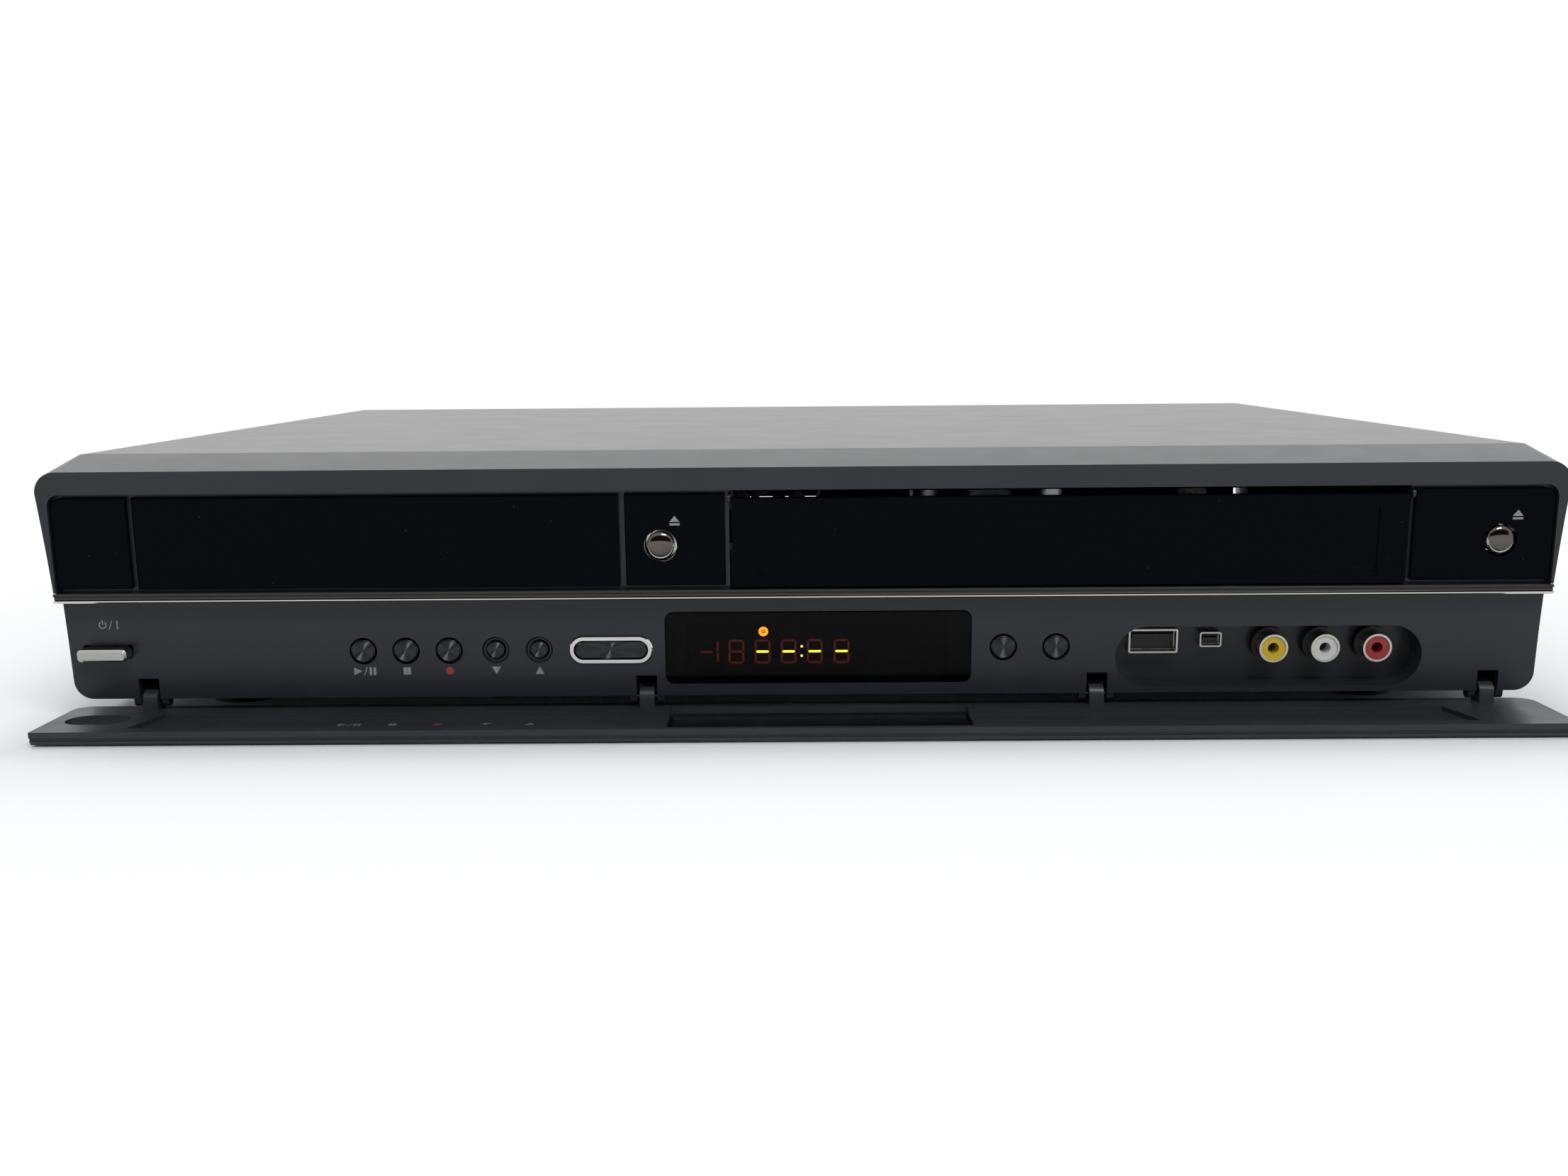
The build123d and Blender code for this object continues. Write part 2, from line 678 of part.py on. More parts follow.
with BuildPart() as front_flap:
    with BuildSketch(Plane.YZ):
        with BuildLine():
            Polyline(
                (depth(-flap_reach), flap_inner),
                (depth(-flap_reach), flap_inner - edge_groove_top),
                (depth(-flap_reach + edge_groove), flap_inner - edge_groove_top - 0.2),
                (depth(-flap_reach + edge_groove), flap_inner - edge_groove_bottom + 0.2),
                (depth(-flap_reach + 0.2), flap_inner - edge_groove_bottom),
                (depth(-flap_reach + edge_slope), flap_outer),
                (depth(flap_back - back_round), flap_outer),
            )
            RadiusArc(
                (depth(flap_back - back_round), flap_outer),
                (depth(flap_back), flap_outer + back_round), -back_round,
            )
            Polyline(
                (depth(flap_back), flap_outer + back_round),
                (depth(flap_back), flap_inner),
                (depth(-flap_reach), flap_inner),
            )
        make_face()
    extrude(amount=flap_half_width, both=True)
    with BuildSketch(Plane.XY.offset(flap_outer - 1)) as flap_plan:
        middle, wide, long = on_flap(-flap_half_width, flap_half_width, -flap_reach, flap_back)
        with Locations(middle):
            Rectangle(wide, long)
        fillet(flap_plan.vertices().group_by(Axis.Y)[-1], flap_corner)
    extrude(amount=flap_thickness + 2, mode=Mode.INTERSECT)
    # shallow recess that clears the buttons, with slanted ends
    with BuildSketch(Plane.XY.offset(flap_inner)):
        middle, wide, long = on_flap(-recess_half_width, recess_half_width, recess_front, recess_back)
        with Locations(middle):
            Trapezoid(wide, long, recess_end_angle)
    extrude(amount=-inner_recess, mode=Mode.SUBTRACT)
    # opening for the display, with a rebate that holds the smoked lens
    with BuildSketch(Plane.XY.offset(flap_inner)):
        middle, wide, long = on_flap(*lens_edges)
        with Locations(middle):
            Rectangle(wide, long)
    extrude(amount=-flap_thickness, mode=Mode.SUBTRACT)
    with BuildSketch(Plane.XY.offset(flap_outer)):
        with Locations(middle):
            Rectangle(wide + 2 * lens_rebate, long + lens_rebate)
    extrude(amount=lens_thickness, mode=Mode.SUBTRACT)
    # opening that the power button stands in
    with BuildSketch(Plane.XY.offset(flap_inner)):
        middle, wide, long = on_flap(*power_cutout)
        with Locations(middle):
            SlotOverall(wide, long)
    extrude(amount=-flap_thickness, mode=Mode.SUBTRACT)
    # lugs that reach up into the panel's slots
    for place in hinge_places:
        with BuildSketch(Plane.YZ.offset(place - lug_width / 2)):
            with Locations(flap_pivot):
                Circle(lug_radius)
            with Locations((flap_pivot[0], flap_inner - 0.5)):
                Rectangle(2 * lug_radius, flap_pivot[1] - flap_inner + 0.5,
                          align=(Align.CENTER, Align.MIN))
            with Locations(flap_pivot):
                Circle(hinge_pin_radius + running_gap, mode=Mode.SUBTRACT)
        extrude(amount=lug_width)
save(front_flap.part, "front_flap")

with BuildPart() as flap_lens:
    with BuildSketch(Plane.XY.offset(flap_outer)):
        middle, wide, long = on_flap(*lens_edges)
        with Locations(middle):
            Rectangle(wide + 2 * lens_rebate, long + lens_rebate)
    extrude(amount=lens_thickness)
    with BuildSketch(Plane.XY.offset(flap_outer + lens_thickness)):
        with Locations(middle):
            Rectangle(wide - 0.2, long - 0.2)
    extrude(amount=lens_dome, taper=45)
save(flap_lens.part, "flap_lens")

with BuildPart() as flap_hinge_pins:
    for place in hinge_places:
        with BuildSketch(Plane.YZ.offset(place - pin_length / 2)):
            with Locations(flap_pivot):
                Circle(hinge_pin_radius)
        extrude(amount=pin_length)
save(flap_hinge_pins.part, "flap_hinge_pins")

# ---------------------------------------------------------------- sockets in the front
rca_places = (136.8, 151.7, 166.7)
rca_level = 58.3
rca_shell_radius = 4.15
rca_bore = 1.6
rca_insert_radius = 3.55
rca_base_radius = 5.2
rca_base_height = 3.0
rca_shell_front = panel_setback + 1.2
usb_edges = (95.6, 109.9, 53.3, 60.4)
dv_edges = (116.4, 122.7, 54.4, 58.8)


def framed_port(name, edges, shell, tongue_high, front, lift):
    """A metal socket shell with a contact tongue, standing on the recess floor."""
    middle, wide, high = on_face(*edges)
    with BuildPart() as port:
        with BuildSketch(face_plane(front)):
            with Locations(middle):
                RectangleRounded(wide, high, 0.6)
        extrude(amount=-(recess_floor - front))
        with BuildSketch(face_plane(front)):
            with Locations(middle):
                RectangleRounded(wide - 2 * shell, high - 2 * shell, 0.3)
        extrude(amount=-(recess_floor - front - 1.0), mode=Mode.SUBTRACT)
        with BuildSketch(face_plane(front + 1.0)):
            with Locations((middle[0], middle[1] + lift)):
                Rectangle(wide - 2 * shell - 1.4, tongue_high)
        extrude(amount=-(recess_floor - front - 1.0))
    save(port.part, name)


framed_port("usb_port", usb_edges, 0.5, 1.8, panel_setback + 5.0, 1.0)
framed_port("dv_port", dv_edges, 0.4, 0.8, panel_setback + 5.5, 0.0)

with BuildPart() as rca_bases:
    with BuildSketch(face_plane(recess_floor)):
        for place in rca_places:
            with Locations((place, up_face(rca_level))):
                Circle(rca_base_radius)
    extrude(amount=rca_base_height)
save(rca_bases.part, "rca_bases")

with BuildPart() as rca_shells:
    with BuildSketch(face_plane(recess_floor - rca_base_height)):
        for place in rca_places:
            with Locations((place, up_face(rca_level))):
                Circle(rca_shell_radius)
                Circle(rca_insert_radius, mode=Mode.SUBTRACT)
    extrude(amount=recess_floor - rca_base_height - rca_shell_front)
save(rca_shells.part, "rca_shells")

for name, place in zip(("yellow", "white", "red"), rca_places):
    with BuildPart() as insert:
        with BuildSketch(face_plane(recess_floor - rca_base_height)):
            with Locations((place, up_face(rca_level))):
                Circle(rca_insert_radius)
        extrude(amount=recess_floor - rca_base_height - rca_shell_front - 0.4)
        with BuildSketch(face_plane(rca_shell_front)):
            with Locations((place, up_face(rca_level))):
                Circle(rca_bore)
        extrude(amount=-5.0, mode=Mode.SUBTRACT)
    save(insert.part, f"rca_insert_{name}")

# ---------------------------------------------------------------- boards behind the front
board_thickness = 1.6
board_edges = (-206.0, 84.0, 47.0, 67.0)
small_board_half = 9.0
switch_size = 6.0
display_can = (-33.0, 43.0, 49.5, 64.5)
with BuildPart() as front_board:
    middle, wide, high = on_face(*board_edges)
    with BuildSketch(face_plane(board_setback)):
        with Locations(middle):
            Rectangle(wide, high)
    extrude(amount=-board_thickness)
    with BuildSketch(face_plane(switch_face)):
        for place in (*transport_places.values(), *program_places.values(), *mode_places.values()):
            with Locations((place, up_face(button_level))):
                Rectangle(switch_size, switch_size)
        for edges in (dubbing_ring_edges, power_slot):
            with Locations(on_face(*edges)[0]):
                Rectangle(switch_size, switch_size)
    extrude(amount=-(switch_height + 0.5))
save(front_board.part, "front_board")

with BuildPart() as display_module:
    middle, wide, high = on_face(*display_can)
    with BuildSketch(face_plane(panel_inside + 1.0)):
        with Locations(middle):
            Rectangle(wide, high)
    extrude(amount=-(board_setback - panel_inside - 1.0))
save(display_module.part, "display_module")

with BuildPart() as eject_boards:
    for place in eject_places.values():
        with BuildSketch(face_plane(board_setback)):
            with Locations((place, up_face(eject_level))):
                Rectangle(2 * small_board_half, 2 * small_board_half)
        extrude(amount=-board_thickness)
        with BuildSketch(face_plane(switch_face)):
            with Locations((place, up_face(eject_level))):
                Rectangle(switch_size, switch_size)
        extrude(amount=-(switch_height + 0.5))
save(eject_boards.part, "eject_boards")

# ---------------------------------------------------------------- disc drive
drive_middle = (dvd_door[0] + dvd_door[1]) / 2
tray_width = 130.0
tray_length = 165.0
tray_travel = 135.0
tray_front = 4.2  # depth of the tray's front edge behind the brow
tray_top = 20.0
tray_height = 6.0
disc_well_radius = 60.5
small_well_radius = 40.5
well_depth = 2.2
small_well_depth = 1.0
well_margin = 8.0  # tray left in front of the well
tray_corner = 8.0
hub_slot_radius = 19.0
bracket_bottom = 33.0
bracket_thickness = 2.0
bracket_inset = 4.0
drive_floor_level = 33.5
drive_wall = 2.0
drive_front = 26.0
drive_length = 170.0
drive_slide_gap = 0.5
rail_width = 3.0
rail_thickness = 1.6
rail_clearance = 0.1
wall_over_tray = 3.0
floor_window = (50.0, 98.0)
floor_window_front = 20.0  # in front of the turntable's axis
floor_window_corner = 6.0

tray_middle_y = depth(tray_front) + tray_length / 2
well_y = depth(tray_front) + well_margin + disc_well_radius
with BuildPart() as disc_tray:
    with BuildSketch(Plane.XY.offset(level(tray_top))) as tray_plan:
        with Locations((drive_middle, tray_middle_y)):
            Rectangle(tray_width, tray_length)
        fillet(tray_plan.vertices().group_by(Axis.Y)[-1], tray_corner)
    extrude(amount=-tray_height)
    with BuildSketch(Plane.XY.offset(level(tray_top))):
        with Locations((drive_middle, well_y)):
            Circle(disc_well_radius)
    extrude(amount=-well_depth, mode=Mode.SUBTRACT)
    with BuildSketch(Plane.XY.offset(level(tray_top + well_depth))):
        with Locations((drive_middle, well_y)):
            Circle(small_well_radius)
    extrude(amount=-small_well_depth, mode=Mode.SUBTRACT)
    # slot for the turntable and the lens, open to the tray's back
    with BuildSketch(Plane.XY.offset(level(tray_top))):
        with Locations((drive_middle, well_y)):
            Circle(hub_slot_radius)
            Rectangle(2 * hub_slot_radius, tray_length, align=(Align.CENTER, Align.MIN))
    extrude(amount=-tray_height, mode=Mode.SUBTRACT)
    # bracket that carries the door on the tray's front edge
    with BuildSketch(Plane.XZ.offset(-depth(tray_front))):
        with Locations((drive_middle, level((tray_top + bracket_bottom) / 2))):
            Rectangle(tray_width - 2 * bracket_inset, bracket_bottom - tray_top)
    extrude(amount=-bracket_thickness)
    split(bisect_by=face_plane(gloss_thickness - fit_gap), keep=Keep.BOTTOM)
save(disc_tray.part, "disc_tray")

drive_floor_z = level(drive_floor_level)
drive_half = tray_width / 2 + drive_slide_gap
with BuildPart() as drive_frame:
    # open box that the tray runs in, standing on the chassis pan
    with BuildSketch(Plane.XY.offset(pan_bottom + chassis_sheet)):
        with Locations((drive_middle, depth(drive_front) + drive_length / 2)):
            Rectangle(2 * (drive_half + drive_wall), drive_length)
    extrude(amount=drive_floor_z - pan_bottom - chassis_sheet)
    with BuildSketch(Plane.XY.offset(pan_bottom + chassis_sheet)):
        with Locations((drive_middle, depth(drive_front) + drive_length / 2)):
            Rectangle(2 * drive_half, drive_length - 2 * drive_wall)
    extrude(amount=drive_floor_z - pan_bottom - chassis_sheet - drive_wall, mode=Mode.SUBTRACT)
    # side walls with a rail under and over each edge of the tray
    for side in (-1, 1):
        with BuildSketch(Plane.XY.offset(drive_floor_z)):
            with Locations((drive_middle + side * (drive_half + drive_wall / 2),
                            depth(drive_front) + drive_length / 2)):
                Rectangle(drive_wall, drive_length)
        extrude(amount=level(tray_top - wall_over_tray) - drive_floor_z)
        for rail_top in (
            level(tray_top + tray_height) - rail_clearance, level(tray_top - wall_over_tray)
        ):
            with BuildSketch(Plane.XY.offset(rail_top)):
                with Locations((drive_middle + side * (drive_half + 0.5 - rail_width / 2),
                                depth(drive_front) + drive_length / 2)):
                    Rectangle(rail_width, drive_length)
            extrude(amount=-rail_thickness)
    # window in the floor for the turntable and the sled
    with BuildSketch(Plane.XY.offset(drive_floor_z)):
        with Locations((drive_middle, well_y - floor_window_front)):
            RectangleRounded(*floor_window, floor_window_corner, align=(Align.CENTER, Align.MIN))
    extrude(amount=-drive_wall, mode=Mode.SUBTRACT)
save(drive_frame.part, "drive_frame")

# turntable and its motor below the tray's slot
turntable_radius = 14.5
motor_radius = 13.0
shaft_radius = 1.5
turntable_thickness = 2.2
turntable_gap = 0.3
hub_boss_radius = 7.4
hub_boss_height = 2.4
shaft_length = 2.2
motor_top = level(tray_top + tray_height) - 2.2
with BuildPart() as spindle_motor:
    with BuildSketch(Plane.XY.offset(pan_bottom + chassis_sheet)):
        with Locations((drive_middle, well_y)):
            Circle(motor_radius)
    extrude(amount=motor_top - pan_bottom - chassis_sheet)
    with BuildSketch(Plane.XY.offset(motor_top)):
        with Locations((drive_middle, well_y)):
            Circle(shaft_radius)
    extrude(amount=shaft_length)
save(spindle_motor.part, "spindle_motor")

with BuildPart() as turntable:
    with BuildSketch(Plane.XY.offset(motor_top + turntable_gap)):
        with Locations((drive_middle, well_y)):
            Circle(turntable_radius)
    extrude(amount=turntable_thickness)
    with BuildSketch(Plane.XY.offset(motor_top + turntable_gap + turntable_thickness)):
        with Locations((drive_middle, well_y)):
            Circle(hub_boss_radius)
    extrude(amount=hub_boss_height, taper=12)
    with BuildSketch(Plane.XY.offset(motor_top + turntable_gap)):
        with Locations((drive_middle, well_y)):
            Circle(shaft_radius + running_gap)
    extrude(amount=shaft_length - turntable_gap + 0.2, mode=Mode.SUBTRACT)
save(turntable.part, "turntable")

# lens sled on two rods
rod_radius = 1.5
rod_spread = 34.0
sled_length = 24.0
sled_start = well_y + motor_radius + 3.0
sled_travel = 26.0
rod_overhang = 3.0  # rod in front of the sled
rod_length = sled_length + sled_travel + 8.0
rod_z = motor_top - 6.0
rod_bracket = (5.0, 2.5)  # width and length of the post at each end
sled_height = 6.0
lens_radius = 4.2
lens_height = 2.0
with BuildPart() as sled_rods:
    for side in (-1, 1):
        with BuildSketch(Plane.XZ.offset(-(sled_start - rod_overhang))):
            with Locations((drive_middle + side * rod_spread / 2, rod_z)):
                Circle(rod_radius)
        extrude(amount=-rod_length)
        for along in (0, rod_length - rod_bracket[1]):
            with BuildSketch(Plane.XZ.offset(-(sled_start - rod_overhang + along))):
                with Locations((drive_middle + side * rod_spread / 2, rod_z + rod_radius + 1)):
                    Rectangle(rod_bracket[0], rod_z + rod_radius + 1 - pan_bottom - chassis_sheet,
                              align=(Align.CENTER, Align.MAX))
            extrude(amount=-rod_bracket[1])
save(sled_rods.part, "sled_rods")

with BuildPart() as lens_sled:
    with BuildSketch(Plane.XY.offset(rod_z - sled_height / 2)) as sled_plan:
        with Locations((drive_middle, sled_start)):
            Rectangle(rod_spread + 8, sled_length, align=(Align.CENTER, Align.MIN))
        fillet(sled_plan.vertices(), 3)
    extrude(amount=sled_height)
    with BuildSketch(Plane.XY.offset(rod_z + sled_height / 2)):
        with Locations((drive_middle, sled_start + sled_length / 2)):
            Circle(lens_radius)
    extrude(amount=lens_height)
    for side in (-1, 1):
        with BuildSketch(Plane.XZ.offset(-sled_start)):
            with Locations((drive_middle + side * rod_spread / 2, rod_z)):
                Circle(rod_radius + 2 * running_gap)
        extrude(amount=-sled_length, mode=Mode.SUBTRACT)
save(lens_sled.part, "lens_sled")

# ---------------------------------------------------------------- cassette deck
tape_middle = (vcr_door[0] + vcr_door[1]) / 2
cassette_width = 187.0
cassette_length = 103.0
cassette_height = 25.0
basket_gap = 1.2
basket_sheet = 1.0
basket_front = 31.0
basket_travel = 40.0
basket_floor = level(strip_top + 0.2)
basket_inner_half = cassette_width / 2 + basket_gap
basket_inner_top = basket_floor + cassette_height + 0.6
deck_length = 215.0
deck_half = basket_inner_half + 6.0
deck_plate_z = 26.0
deck_plate = 2.0
deck_leg = 7.0
reel_spread = 90.0
reel_y = depth(basket_front) + basket_travel + 52.0
reel_radius = 11.0
spline_radius = 5.0
spline_tooth = (2.4, 1.2)
reel_disc = 3.0
reel_gap = 0.3
drum_radius = 31.0
drum_y = depth(basket_front) + basket_travel + cassette_length + 38.0
drum_lower_height = 14.0
drum_upper_height = 12.0
drum_gap = 0.3
drum_shaft_radius = 3.0
head_count = 6
head_notch = (2.4, 3.0)
head_notch_height = 2.0
hub_well = (10.0, 26.0)  # inner and outer radius of the well in the drum's top
hub_well_depth = 3.0
deck_top = deck_plate_z + deck_plate
reel_top = basket_floor - basket_sheet - 1.0
reel_post_radius = 1.5
with BuildPart() as deck_chassis:
    # pressed deck plate with side walls, on legs that stand on the pan
    with BuildSketch(Plane.XY.offset(deck_plate_z)):
        with Locations((tape_middle, depth(basket_front))):
            Rectangle(2 * deck_half, deck_length, align=(Align.CENTER, Align.MIN))
        with Locations((tape_middle, drum_y)):
            Circle(drum_radius - 6, mode=Mode.SUBTRACT)
    extrude(amount=deck_plate)
    for side in (-1, 1):
        with BuildSketch(Plane.XY.offset(deck_plate_z)):
            with Locations((tape_middle + side * (deck_half - 0.75), depth(basket_front))):
                Rectangle(1.5, basket_travel + cassette_length + 10,
                          align=(Align.CENTER, Align.MIN))
        extrude(amount=basket_inner_top + 2.0 - deck_plate_z)
        # guide rail for the basket
        with BuildSketch(Plane.XY.offset(basket_floor + 8.0)):
            with Locations((tape_middle + side * (basket_inner_half + basket_sheet + 2.4),
                            depth(basket_front))):
                Rectangle(4.0, basket_travel + cassette_length, align=(Align.CENTER, Align.MIN))
        extrude(amount=2.0)
    with BuildSketch(Plane.XY.offset(pan_bottom + chassis_sheet)):
        with Locations((tape_middle, depth(basket_front) + deck_length / 2)):
            with GridLocations(2 * deck_half - 10, deck_length - 10, 2, 2):
                Rectangle(deck_leg, deck_leg)
    extrude(amount=deck_plate_z - pan_bottom - chassis_sheet)
    # fixed posts that the reel tables turn on
    with BuildSketch(Plane.XY.offset(deck_top)):
        with Locations((tape_middle, reel_y)):
            with GridLocations(reel_spread, 1, 2, 1):
                Circle(reel_post_radius)
    extrude(amount=reel_top - deck_top - 1.5)
save(deck_chassis.part, "deck_chassis")

with BuildPart() as cassette_basket:
    with BuildSketch(upright(basket_front)):
        with Locations((tape_middle, basket_floor - basket_sheet)):
            Rectangle(2 * (basket_inner_half + basket_sheet),
                      basket_inner_top - basket_floor + 2 * basket_sheet,
                      align=(Align.CENTER, Align.MIN))
        with Locations((tape_middle, basket_floor)):
            Rectangle(2 * basket_inner_half, basket_inner_top - basket_floor,
                      align=(Align.CENTER, Align.MIN), mode=Mode.SUBTRACT)
    extrude(amount=-cassette_length)
    # floor and roof are cut back, so the reels and the drum reach the tape
    with BuildSketch(Plane.XY.offset(basket_floor - basket_sheet)):
        with Locations((tape_middle, depth(basket_front) + 16)):
            Rectangle(cassette_width - 40, cassette_length, align=(Align.CENTER, Align.MIN))
    extrude(amount=basket_sheet, mode=Mode.SUBTRACT)
    with BuildSketch(Plane.XY.offset(basket_inner_top)):
        with Locations((tape_middle, depth(basket_front) + 24)):
            RectangleRounded(cassette_width - 70, cassette_length - 48, 6,
                             align=(Align.CENTER, Align.MIN))
    extrude(amount=basket_sheet, mode=Mode.SUBTRACT)
save(cassette_basket.part, "cassette_basket")

for name, side in (("supply", -1), ("takeup", 1)):
    with BuildPart() as reel:
        with BuildSketch(Plane.XY.offset(deck_top + reel_gap)):
            with Locations((tape_middle + side * reel_spread / 2, reel_y)):
                Circle(reel_radius)
        extrude(amount=reel_disc)
        with BuildSketch(Plane.XY.offset(deck_top + reel_gap + reel_disc)):
            with Locations((tape_middle + side * reel_spread / 2, reel_y)):
                Circle(spline_radius)
                with PolarLocations(spline_radius, 3):
                    Rectangle(*spline_tooth)
        extrude(amount=reel_top - deck_top - reel_gap - reel_disc)
        with BuildSketch(Plane.XY.offset(deck_top)):
            with Locations((tape_middle + side * reel_spread / 2, reel_y)):
                Circle(reel_post_radius + running_gap)
        extrude(amount=reel_top - deck_top - 1.4, mode=Mode.SUBTRACT)
    save(reel.part, f"{name}_reel_table")

with BuildPart() as lower_drum:
    with BuildSketch(Plane.XY.offset(deck_top)):
        with Locations((tape_middle, drum_y)):
            Circle(drum_radius)
    extrude(amount=drum_lower_height)
    with BuildSketch(Plane.XY.offset(deck_top + drum_lower_height)):
        with Locations((tape_middle, drum_y)):
            Circle(drum_shaft_radius)
    extrude(amount=drum_upper_height + 2)
save(lower_drum.part, "lower_drum")

head_drum_z = deck_top + drum_lower_height + drum_gap
with BuildPart() as head_drum:
    with BuildSketch(Plane.XY.offset(head_drum_z)):
        with Locations((tape_middle, drum_y)):
            Circle(drum_radius)
            Circle(drum_shaft_radius + running_gap, mode=Mode.SUBTRACT)
    extrude(amount=drum_upper_height)
    chamfer(head_drum.edges().filter_by(GeomType.CIRCLE).sort_by(Axis.Z)[-1], 0.6)
    with BuildSketch(Plane.XY.offset(head_drum_z + drum_upper_height)):
        with Locations((tape_middle, drum_y)):
            Circle(hub_well[1])
            Circle(hub_well[0], mode=Mode.SUBTRACT)
    extrude(amount=-hub_well_depth, mode=Mode.SUBTRACT)
    # notches for the six heads
    with BuildSketch(Plane.XY.offset(head_drum_z)):
        with Locations((tape_middle, drum_y)):
            with PolarLocations(drum_radius, head_count):
                Rectangle(*head_notch)
    extrude(amount=head_notch_height, mode=Mode.SUBTRACT)
save(head_drum.part, "head_drum")

# ---------------------------------------------------------------- rear panel
rear_inner_y = cover_rear_y - 2 * cover_sheet
rear_outer_y = cover_rear_y - cover_sheet
rear_half_width = chassis_half_width - chassis_sheet - 0.2
rear_bottom = pan_bottom + chassis_sheet
rear_top = body_height - cover_sheet - 0.2
fan_size = 40.0
fan_thickness = 10.0
fan_place = (-8.0, 44.0)
fan_bore = 18.5
av_block_size = (50.0, 36.0)
av_block_place = (96.0, 38.0)
av_pitch = 14.0
av_columns = 3
av_rows = 2
aerial_place = (188.0, 38.0)
aerial_pitch = 22.0
aerial_radius = 4.7
aerial_can = 12.0  # depth of the tuner can behind the panel
hdmi_size = (15.0, 5.6)
hdmi_place = (150.0, 30.0)
inlet_size = (20.0, 14.0)
inlet_place = (-186.0, 34.0)
block_flange = 1.5
grille_slots = 7
grille_pitch = 5.0
grille_slot = 2.4
block_proud = 0.6
block_depth = 8.0
inlet_proud = 1.2


def rear_cut(place, size):
    """One opening in the rear panel."""
    with Locations(place):
        Rectangle(*size, mode=Mode.SUBTRACT)


with BuildPart() as rear_panel:
    with BuildSketch(Plane.XZ.offset(-rear_inner_y)):
        with Locations((0, rear_bottom)):
            Rectangle(2 * rear_half_width, rear_top - rear_bottom, align=(Align.CENTER, Align.MIN))
        rear_cut(av_block_place, av_block_size)
        rear_cut(hdmi_place, hdmi_size)
        rear_cut(inlet_place, inlet_size)
        with Locations(aerial_place):
            with GridLocations(1, aerial_pitch, 1, 2):
                Circle(aerial_radius, mode=Mode.SUBTRACT)
        with Locations(fan_place):
            with GridLocations(1, grille_pitch, 1, grille_slots):
                Rectangle(fan_size - 8, grille_slot, mode=Mode.SUBTRACT)
    extrude(amount=-cover_sheet)
save(rear_panel.part, "rear_panel")


def rear_block(size, place, proud):
    """Solid that fills a rear opening from behind, with a flange inside the panel."""
    with BuildPart(mode=Mode.PRIVATE) as block:
        with BuildSketch(Plane.XZ.offset(-rear_inner_y)):
            with Locations(place):
                Rectangle(size[0] - 0.2, size[1] - 0.2)
        extrude(amount=-(cover_sheet + proud))
        with BuildSketch(Plane.XZ.offset(-rear_inner_y)):
            with Locations(place):
                Rectangle(size[0] + 2 * block_flange, size[1] + 2 * block_flange)
        extrude(amount=block_depth)
    return block.part


with BuildPart() as rear_av_block:
    add(rear_block(av_block_size, av_block_place, block_proud))
save(rear_av_block.part, "rear_av_block")

av_face_y = rear_inner_y + cover_sheet + block_proud
shell_reach = 8.0
insert_reach = 7.6
with BuildPart() as rear_av_shells:
    with BuildSketch(Plane.XZ.offset(-av_face_y)):
        with Locations(av_block_place):
            with GridLocations(av_pitch, av_pitch, av_columns, av_rows):
                Circle(rca_shell_radius)
                Circle(rca_insert_radius, mode=Mode.SUBTRACT)
    extrude(amount=-shell_reach)
save(rear_av_shells.part, "rear_av_shells")

with BuildPart() as rear_av_inserts:
    with BuildSketch(Plane.XZ.offset(-av_face_y)):
        with Locations(av_block_place):
            with GridLocations(av_pitch, av_pitch, av_columns, av_rows):
                Circle(rca_insert_radius)
    extrude(amount=-insert_reach)
    with BuildSketch(Plane.XZ.offset(-av_face_y - insert_reach)):
        with Locations(av_block_place):
            with GridLocations(av_pitch, av_pitch, av_columns, av_rows):
                Circle(rca_bore)
    extrude(amount=5.0, mode=Mode.SUBTRACT)
save(rear_av_inserts.part, "rear_av_inserts")

with BuildPart() as aerial_sockets:
    with BuildSketch(Plane.XZ.offset(-(rear_inner_y - aerial_can))):
        with Locations(aerial_place):
            Rectangle(2 * aerial_radius + 4, aerial_pitch + 2 * aerial_radius + 4)
    extrude(amount=-aerial_can)
    with BuildSketch(Plane.XZ.offset(-rear_inner_y)):
        with Locations(aerial_place):
            with GridLocations(1, aerial_pitch, 1, 2):
                Circle(aerial_radius - 0.1)
    extrude(amount=-(2 * cover_sheet + rear_jack_reach))
    with BuildSketch(Plane.XZ.offset(-(cover_rear_y + rear_jack_reach))):
        with Locations(aerial_place):
            with GridLocations(1, aerial_pitch, 1, 2):
                Circle(1.5)
    extrude(amount=7.0, mode=Mode.SUBTRACT)
save(aerial_sockets.part, "aerial_sockets")

with BuildPart() as hdmi_port:
    add(rear_block(hdmi_size, hdmi_place, block_proud))
    with BuildSketch(Plane.XZ.offset(-av_face_y)):
        with Locations(hdmi_place):
            Rectangle(hdmi_size[0] - 1.2, hdmi_size[1] - 1.2)
            Rectangle(hdmi_size[0] - 4, 1.2, mode=Mode.SUBTRACT)
    extrude(amount=6.0, mode=Mode.SUBTRACT)
save(hdmi_port.part, "hdmi_port")

with BuildPart() as mains_inlet:
    add(rear_block(inlet_size, inlet_place, inlet_proud))
    with BuildSketch(Plane.XZ.offset(-(rear_inner_y + cover_sheet + inlet_proud))):
        with Locations(inlet_place):
            with GridLocations(8.6, 1, 2, 1):
                Circle(3.6)
            Rectangle(8.6, 5.2)
    extrude(amount=8.0, mode=Mode.SUBTRACT)
    with BuildSketch(Plane.XZ.offset(-(av_face_y - 7.4))):
        with Locations(inlet_place):
            with GridLocations(8.6, 1, 2, 1):
                Circle(1.2)
    extrude(amount=-7.0)
save(mains_inlet.part, "mains_inlet")

